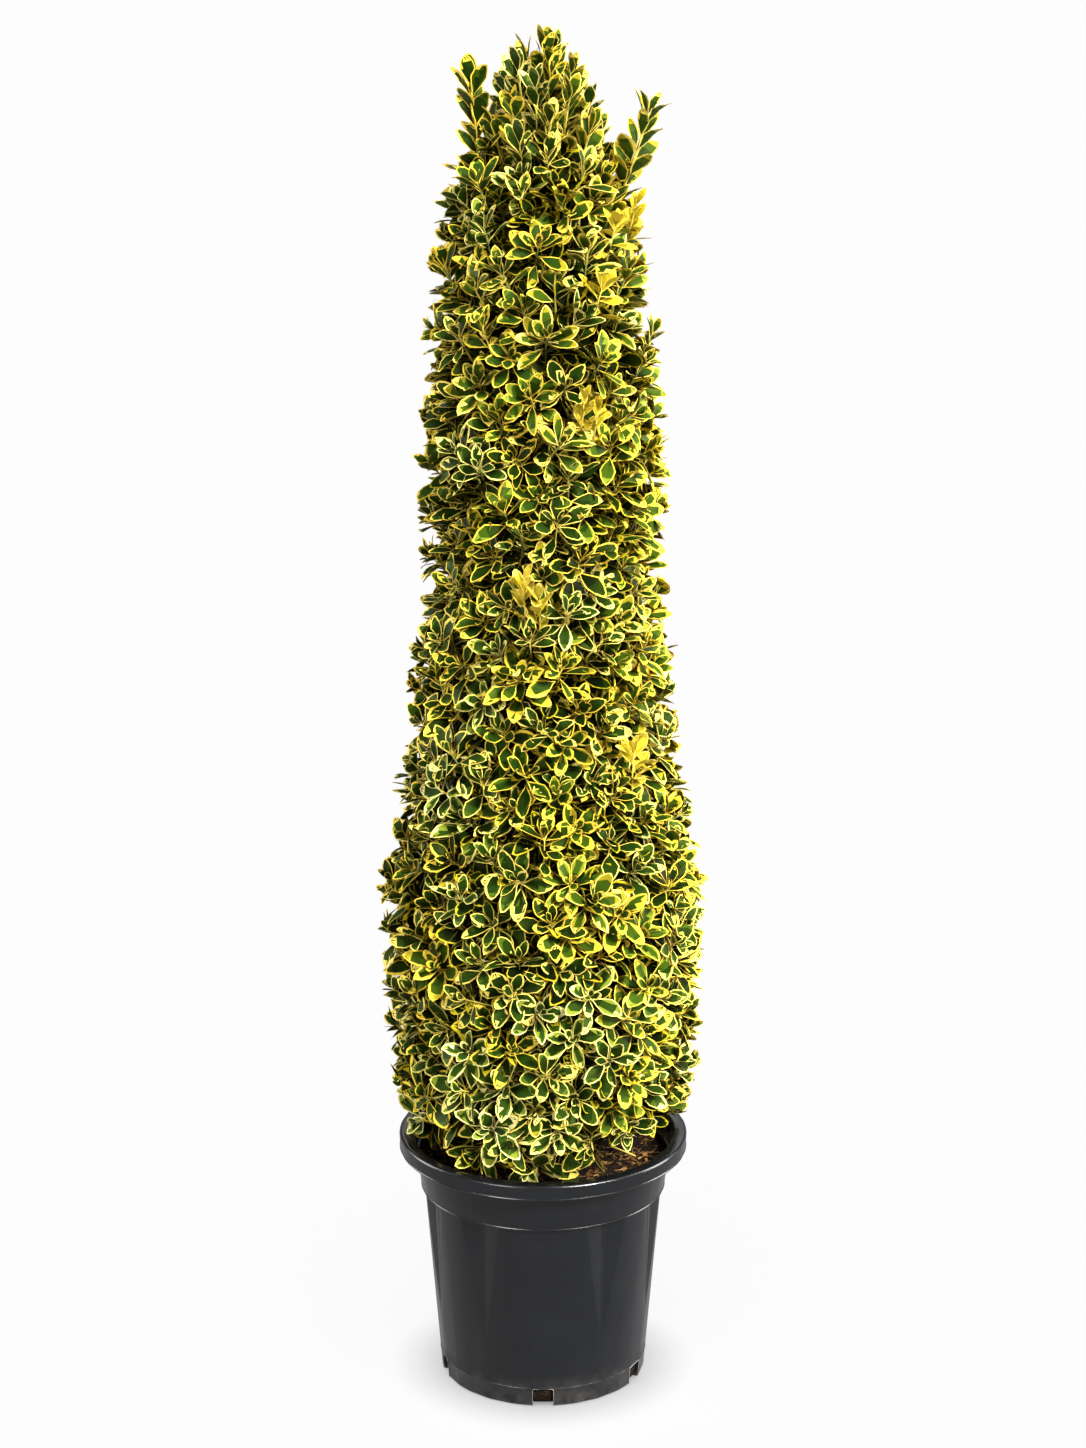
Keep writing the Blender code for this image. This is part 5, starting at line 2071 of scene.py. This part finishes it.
            # Painted shade: a layer's share of its sprays takes the darkened SHADED tints.
            livery = Livery.SHADED if rng.random() < layer.shaded else self.livery(tip, rng)
            golden = livery is Livery.GOLDEN
            lean = self.golden_lean if golden else eased(self.lean_by_height, tip.z)
            lean += rng.gauss(0, self.lean_stray)
            axis = towards(azimuth_of(tip) + rng.gauss(0, self.aside_stray), lean)
            wanted = np.array(tip - axis * self.twig_length)
            gaps = np.linalg.norm(origins - wanted, axis=1) + 1.5 * np.maximum(origins[:, 2] - tip.z, 0)
            line = self.twig(forks[int(gaps.argmin())], tip, axis)
            twigs.add_tube(line, radii, self.twig_sides, 1 if golden else rng.choice((0, 0, 1)))
            upright = tip.z + rng.gauss(0, self.upright_stray) > self.upright_over
            size = rng.choice((0.90, 0.98, 1.0, 1.05, 1.12))
            if golden:
                kind, size = Spray.UPRIGHT, self.golden_size
            elif layer.front:
                kind = Spray.UPRIGHT if upright else Spray.ROSETTE
            else:
                kind = Spray.BACKING
            self.leaves(leaves, line, kind.value, livery, rng, size)


@dataclass
class Shoot:
    """One upright shoot.

    Attributes:
        bend: Where it bends: share of the way across, and of the way up.
        radius: Its radius at the foot, and what it loses with each stretch.
        spread: Angle of its leaves from it at the top, and what is added down to its lowest pair.
    """

    foot: Vector
    tip: Vector
    pairs: int
    size: float
    livery: Livery
    bend: tuple[float, float] = (0.55, 0.36)
    radius: tuple[float, float] = (0.0017, 0.0001)
    sides: int = 5
    steps: int = 6
    turn: float = 90
    swing: float = 36
    spread: tuple[float, float] = (19, 25)
    top_pair: PairPlan = PairPlan(0.0, 9, 0.84, Grade.FULL)
    first_back: float = 0.004

    def grow(self, grower: Grower, leaves: LeafStock, twigs: MeshStock, rng: random.Random) -> None:
        """Grows the shoot.

        Args:
            grower: Grows its leaves.
            leaves: Takes them.
            twigs: Takes its twig.
            rng: Seeded numbers.
        """
        knee = self.foot.lerp(self.tip, self.bend[0])
        knee.z = self.foot.z + (self.tip.z - self.foot.z) * self.bend[1]
        line = bent(self.foot, knee, self.tip, self.steps)
        foot, loss = self.radius
        twigs.add_tube(line, [foot - loss * index for index in range(len(line))], self.sides, 1)
        length = (self.tip - knee).length
        pairs = [self.top_pair]
        for number in range(self.pairs):
            share = (number + 0.5) / self.pairs
            size = 0.90 + 0.12 * min(share * 2, 1)
            spread = self.spread[0] + self.spread[1] * share
            pairs.append(PairPlan(self.first_back + length * share, spread, size, Grade.FULL))
        spray = SprayPlan(tuple(pairs), self.turn, self.swing)
        grower.leaves(leaves, line, spray, self.livery, rng, self.size, free=True)


@dataclass
class Crown:
    """The whole crown: the tiers' masses round the trunk, the tall shoots and the crest.

    Attributes:
        tints: Materials of the leaves' slots.
        twig_skins: Materials of the twigs' slots.
        tall_shoots: The mass that bears each tall shoot, and its foot, tip and livery.
        golden_places: Across, height and size of each golden shoot on the front.
        bundle: Number of masses whose leaves are joined into one piece.
        crest_azimuth: Azimuth of the second of them.
    """

    grower: Grower
    tints: Skins
    twig_skins: Skins
    tall_shoots: tuple[tuple[str, tuple, tuple, Livery], ...] = (
        ("shoulder_3", (-0.058, -0.016, 1.510), (-0.087, -0.012, 1.706), Livery.YELLOW_EDGED),
        # The right one takes the BRIGHT livery, painted light of the lit right side.
        ("shoulder_1", (0.060, -0.016, 1.500), (0.126, -0.016, 1.672), Livery.BRIGHT),
    )
    tall_pairs: int = 7
    tall_size: float = 1.16
    golden_places: tuple[tuple[float, float, float], ...] = (
        (-0.024, 1.116, 0.84), (-0.004, 1.100, 0.76), (0.050, 1.345, 0.74), (0.066, 1.330, 0.70),
        (0.112, 1.568, 0.72),
    )
    golden_pairs: int = 4
    golden_length: float = 0.080
    golden_depth: float = 0.034
    golden_gather: float = 0.8
    bundle: int = 2
    leader: tuple[tuple[float, float, float], ...] = ((0.003, 0, 1.56), (0, 0, 1.625))
    leader_radii: tuple[float, ...] = (0.0034, 0.0022)
    crest_shoots: int = 23
    crest_pairs: int = 6
    crest_size: float = 1.02
    crest_azimuth: float = 105
    crest_spread: float = 0.068
    crest_fall: float = 0.110
    crest_top: float = 1.746
    crest_length: float = 0.13
    crest_gather: float = 0.25
    side_stray: float = 2.2
    height_stray: float = 0.006
    seed: int = 7
    layer_seed: int = 507

    def spray_tips(self, layer: Layer) -> list[Vector]:
        """Places the tips of a layer's sprays all over the crown, strewn in depth and place.

        Args:
            layer: The layer.

        Returns:
            The tips.
        """
        habit = self.grower.habit
        rng = random.Random(self.layer_seed + int(layer.turn))
        found = []
        for tip in habit.tips(layer.area, 0):
            depth = layer.depth + layer.spread * rng.random()
            side = around(azimuth_of(tip) + layer.turn + rng.gauss(0, self.side_stray))
            height = tip.z + rng.gauss(0, self.height_stray)
            found.append(side * (habit.reach(height) - depth) + UP * height)
        return found

    def shoots(self, space: MassSpace) -> list[Shoot]:
        """Finds the tall shoot that a mass bears and the golden shoots that stand in its space.

        Args:
            space: The mass's space.

        Returns:
            The shoots.
        """
        found = [
            Shoot(Vector(foot), Vector(tip), self.tall_pairs, self.tall_size, livery)
            for mass, foot, tip, livery in self.tall_shoots
            if mass == space.name
        ]
        for across, height, size in self.golden_places:
            front = -math.sqrt(self.grower.habit.reach(height) ** 2 - across**2)
            tip = Vector((across, front, height))
            gathered = (across * self.golden_gather, front + self.golden_depth, height - self.golden_length)
            if space.claims(tip):
                found.append(Shoot(Vector(gathered), tip, self.golden_pairs, size, Livery.GOLDEN))
        return found

    def build_tier(self, tier: int) -> None:
        """Grows one tier and makes its pieces.

        Args:
            tier: The tier's number.
        """
        grower, habit = self.grower, self.grower.habit
        plan = habit.tiers[tier]
        coarse = habit.tips(habit.limb_area, grower.tip_depth)
        fine = [(layer, self.spray_tips(layer)) for layer in grower.layers]
        for first in range(0, plan.count, self.bundle):
            label = f"{plan.name}_{first // self.bundle + 1}"
            leaves = LeafStock(f"leaves_{label}", grower.forms)
            twigs = MeshStock(f"twigs_{label}")
            nodes = []
            for number in range(first, min(first + self.bundle, plan.count)):
                rng = random.Random(self.seed + 10 * tier + number)
                space = MassSpace(habit, tier, number)
                forks = grower.mass(space, coarse, rng)
                grower.inner(leaves, forks, rng)
                for layer, tips in fine:
                    grower.sprays(leaves, twigs, list(filter(space.claims, tips)), forks, layer, rng)
                for shoot in self.shoots(space):
                    shoot.grow(grower, leaves, twigs, rng)
                nodes.append(f"foliage_{space.name}")
            self.make_pieces(leaves, twigs, nodes)

    def build_crest(self) -> None:
        """Grows the crest and makes its pieces."""
        grower, habit = self.grower, self.grower.habit
        top = len(habit.tiers)
        rng = random.Random(self.seed + 10 * top)
        leaves = LeafStock("leaves_crest", grower.forms)
        twigs = MeshStock("twigs_crest")
        leader = [habit.trunk_centre(habit.trunk_tip), *map(Vector, self.leader)]
        grower.framework.add_limb(leader, (habit.tip_radius, *self.leader_radii), 8)
        for index in range(self.crest_shoots):
            share = index / (self.crest_shoots - 1)
            outward = around(self.crest_azimuth + GOLDEN_ANGLE * (index - 1))
            height = self.crest_top - self.crest_fall * share
            tip = outward * self.crest_spread * math.sqrt(share) + UP * height
            foot = tip * self.crest_gather
            foot.z = tip.z - self.crest_length
            shoot = Shoot(foot, tip, self.crest_pairs, self.crest_size, grower.livery(tip, rng))
            shoot.grow(grower, leaves, twigs, rng)
        forks = [leader[0].lerp(leader[1], share) for share in (0.2, 0.5, 0.8)]
        forks += [leader[1].lerp(leader[2], share) for share in (0.2, 0.5, 0.8, 1.0)]
        grower.inner(leaves, forks, rng)
        for layer in grower.layers:
            tips = [tip for tip in self.spray_tips(layer) if tip.z > habit.ceiling(top - 1, tip)]
            grower.sprays(leaves, twigs, tips, forks, layer, rng)
        self.make_pieces(leaves, twigs, ["foliage_crest"])

    def make_pieces(self, leaves: LeafStock, twigs: MeshStock, nodes: Sequence[str]) -> None:
        """Makes the pieces of some leaves and their twigs, which stand for the nodes given."""
        settle(leaves.mesh().make(self.tints), "leaves", *nodes)
        settle(twigs.make(self.twig_skins), "leaves", *nodes)


# Studio


@dataclass(frozen=True)
class SoftBox:
    """A soft box turned to the plant's middle.

    Attributes:
        middle: Height of the plant's middle.
    """

    name: str
    azimuth: float
    elevation: float
    distance: float
    size: tuple[float, float]
    power: float
    middle: float = 0.75

    def hang(self) -> None:
        """Adds the box, unseen by the camera itself."""
        light = bpy.data.lights.new(self.name, "AREA")
        light.shape = "RECTANGLE"
        light.size, light.size_y = self.size
        light.energy = self.power
        obj = bpy.data.objects.new(self.name, light)
        way = towards(self.azimuth, self.elevation)
        obj.location = way * self.distance + UP * self.middle
        obj.rotation_euler = way.to_track_quat("Z", "Y").to_euler()
        obj.visible_camera = False
        bpy.context.scene.collection.objects.link(obj)


@dataclass(frozen=True)
class SoftSun:
    """A soft distant light.

    Attributes:
        size: Its apparent size.
    """

    name: str
    strength: float
    azimuth: float
    elevation: float
    size: float

    def hang(self) -> bpy.types.Object:
        """Adds the light.

        Returns:
            The light.
        """
        light = bpy.data.lights.new(self.name, "SUN")
        light.energy = self.strength
        light.angle = math.radians(self.size)
        obj = bpy.data.objects.new(self.name, light)
        way = towards(self.azimuth, self.elevation)
        obj.rotation_euler = way.to_track_quat("Z", "Y").to_euler()
        bpy.context.scene.collection.objects.link(obj)
        return obj


@dataclass
class Studio:
    """The pale floor, soft light and camera.

    Attributes:
        lens: Its lens in millimetres, on a sensor of the width given.
        plant_lights: Lights that miss the floor.
        floor_light: The one light that the floor takes.
        floor_glow: Strength of the floor's own light, as the camera sees it.
        floor_bounce: Share of that light that reaches the plant.
        floor_gloss: Share of it that mirrors in the plant.
        contact_reach: How far the painted shadow round the pot's foot reaches.
        contact_shade: Share of the floor's own light that is left where that painted shadow is darkest.
    """

    camera_place: tuple[float, float, float] = (0.0, -4.5, 2.258)
    camera_pitch: float = 16.83
    lens: float = 91.29
    sensor: float = 36.0
    view_end: float = 200
    ambient: float = 0.12
    plant_lights: tuple[SoftSun | SoftBox, ...] = (
        SoftSun("key_light", 10.6, 40, 38, 20),
        SoftSun("fill_light", 2.1, -34, 20, 24),
        SoftBox("right_box", 98, 10, 2.1, (0.9, 1.7), 84),
        SoftBox("left_box", -104, 10, 2.1, (0.9, 1.7), 44),
        SoftBox("back_box", 176, 27, 3.2, (2.6, 1.3), 14),
        SoftBox("overhead_box", 150, 80, 2.3, (2.0, 2.0), 50),
    )
    floor_light: SoftSun = SoftSun("floor_light", 0.5, 0, 73, 34)
    floor_size: float = 160.0
    floor_drop: float = 0.0005
    floor_colour: float = 0.30
    floor_roughness: float = 0.9
    floor_shine: float = 0.1
    floor_glow: float = 0.899
    floor_bounce: float = 0.489
    floor_gloss: float = 0.477
    contact_reach: float = 0.072
    contact_shade: float = 0.34
    contact_samples: int = 5

    def build(self) -> None:
        """Builds the studio and sets its camera."""
        scene = bpy.context.scene
        camera = bpy.data.objects.new("camera", bpy.data.cameras.new("camera"))
        camera.data.lens = self.lens
        camera.data.sensor_width = self.sensor
        camera.data.clip_end = self.view_end
        camera.location = self.camera_place
        camera.rotation_euler = (math.radians(90 - self.camera_pitch), 0, 0)
        scene.collection.objects.link(camera)
        scene.camera = camera
        for light in self.plant_lights:
            light.hang()
        self.link_lights(self.floor())
        world = bpy.data.worlds.new("soft_light")
        world.use_nodes = True
        sky = world.node_tree.nodes["Background"]
        sky.inputs["Color"].default_value = (1, 1, 1, 1)
        sky.inputs["Strength"].default_value = self.ambient
        scene.world = world
        scene.view_settings.view_transform = "Standard"
        scene.view_settings.look = "None"

    def link_lights(self, floor: bpy.types.Object) -> None:
        """Keeps the plant's lights off the floor and gives it the one of its own, for one soft shadow.

        Args:
            floor: The floor.
        """
        groups = {}
        for state in ("EXCLUDE", "INCLUDE"):
            groups[state] = bpy.data.collections.new(f"floor_{state.lower()}")
            groups[state].objects.link(floor)
            groups[state].collection_objects[0].light_linking.link_state = state
        for obj in bpy.context.scene.collection.objects:
            if obj.type == "LIGHT":
                obj.light_linking.receiver_collection = groups["EXCLUDE"]
        self.floor_light.hang().light_linking.receiver_collection = groups["INCLUDE"]

    def floor(self) -> bpy.types.Object:
        """Adds the floor.

        Returns:
            The floor.
        """
        bench = Bench("floor_white", (self.floor_colour,) * 3, self.floor_roughness, self.floor_shine)
        path = bench.add("ShaderNodeLightPath", {}).outputs
        # Painted shadow: an ambient occlusion node darkens the floor's glow round the pot's foot, as the
        # camera sees it.
        reach = {"Distance": self.contact_reach}
        contact = bench.add("ShaderNodeAmbientOcclusion", reach, samples=self.contact_samples)
        seen_with_painted_shadow = bench.blend(contact.outputs["AO"], (self.contact_shade,) * 3, (1.0,) * 3)
        bounced = bench.blend(path["Is Glossy Ray"], (self.floor_bounce,) * 3, (self.floor_gloss,) * 3)
        bench.feed("Emission Color", bench.blend(path["Is Camera Ray"], bounced, seen_with_painted_shadow))
        bench.shader.inputs["Emission Strength"].default_value = self.floor_glow
        half = self.floor_size / 2
        corners = ((-half, -half), (half, -half), (half, half), (-half, half))
        stock = MeshStock("floor")
        stock.add_points(np.array([(*corner, -self.floor_drop) for corner in corners]))
        stock.add_faces(np.array([[0, 1, 2, 3]]))
        floor = stock.make([bench.material])
        return floor


def main() -> None:
    """Builds the whole plant, its pot and the studio."""
    logging.basicConfig(level=logging.INFO, format="%(message)s")
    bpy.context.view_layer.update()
    effects = Effects()
    pot = NurseryPot()
    pot.build(effects)
    PottingMix(pot).build(effects)
    habit = Habit()
    framework = Framework(habit)
    rng = random.Random(FORM_SEED)
    forms = {grade: [grade.value.make(rng) for _ in range(FORMS)] for grade in Grade}
    tints = [LeafFinish(f"leaf_{tint.name.lower()}", tint.value).make(effects) for tint in Tint]
    twig_skins = [
        LeafFinish("twig_green", (0.120, 0.150, 0.030), 0.6).make(effects),
        LeafFinish("twig_yellow", (0.420, 0.330, 0.050), 0.6).make(effects),
    ]
    crown = Crown(Grower(habit, framework, forms), tints, twig_skins)
    for tier in range(len(habit.tiers)):
        crown.build_tier(tier)
    crown.build_crest()
    boughs = [f"bough_{plan.name}_{number + 1}" for plan in habit.tiers for number in range(plan.count)]
    framework.build(BarkFinish().make(effects), boughs)
    Studio().build()


if __name__ == "__main__":
    main()
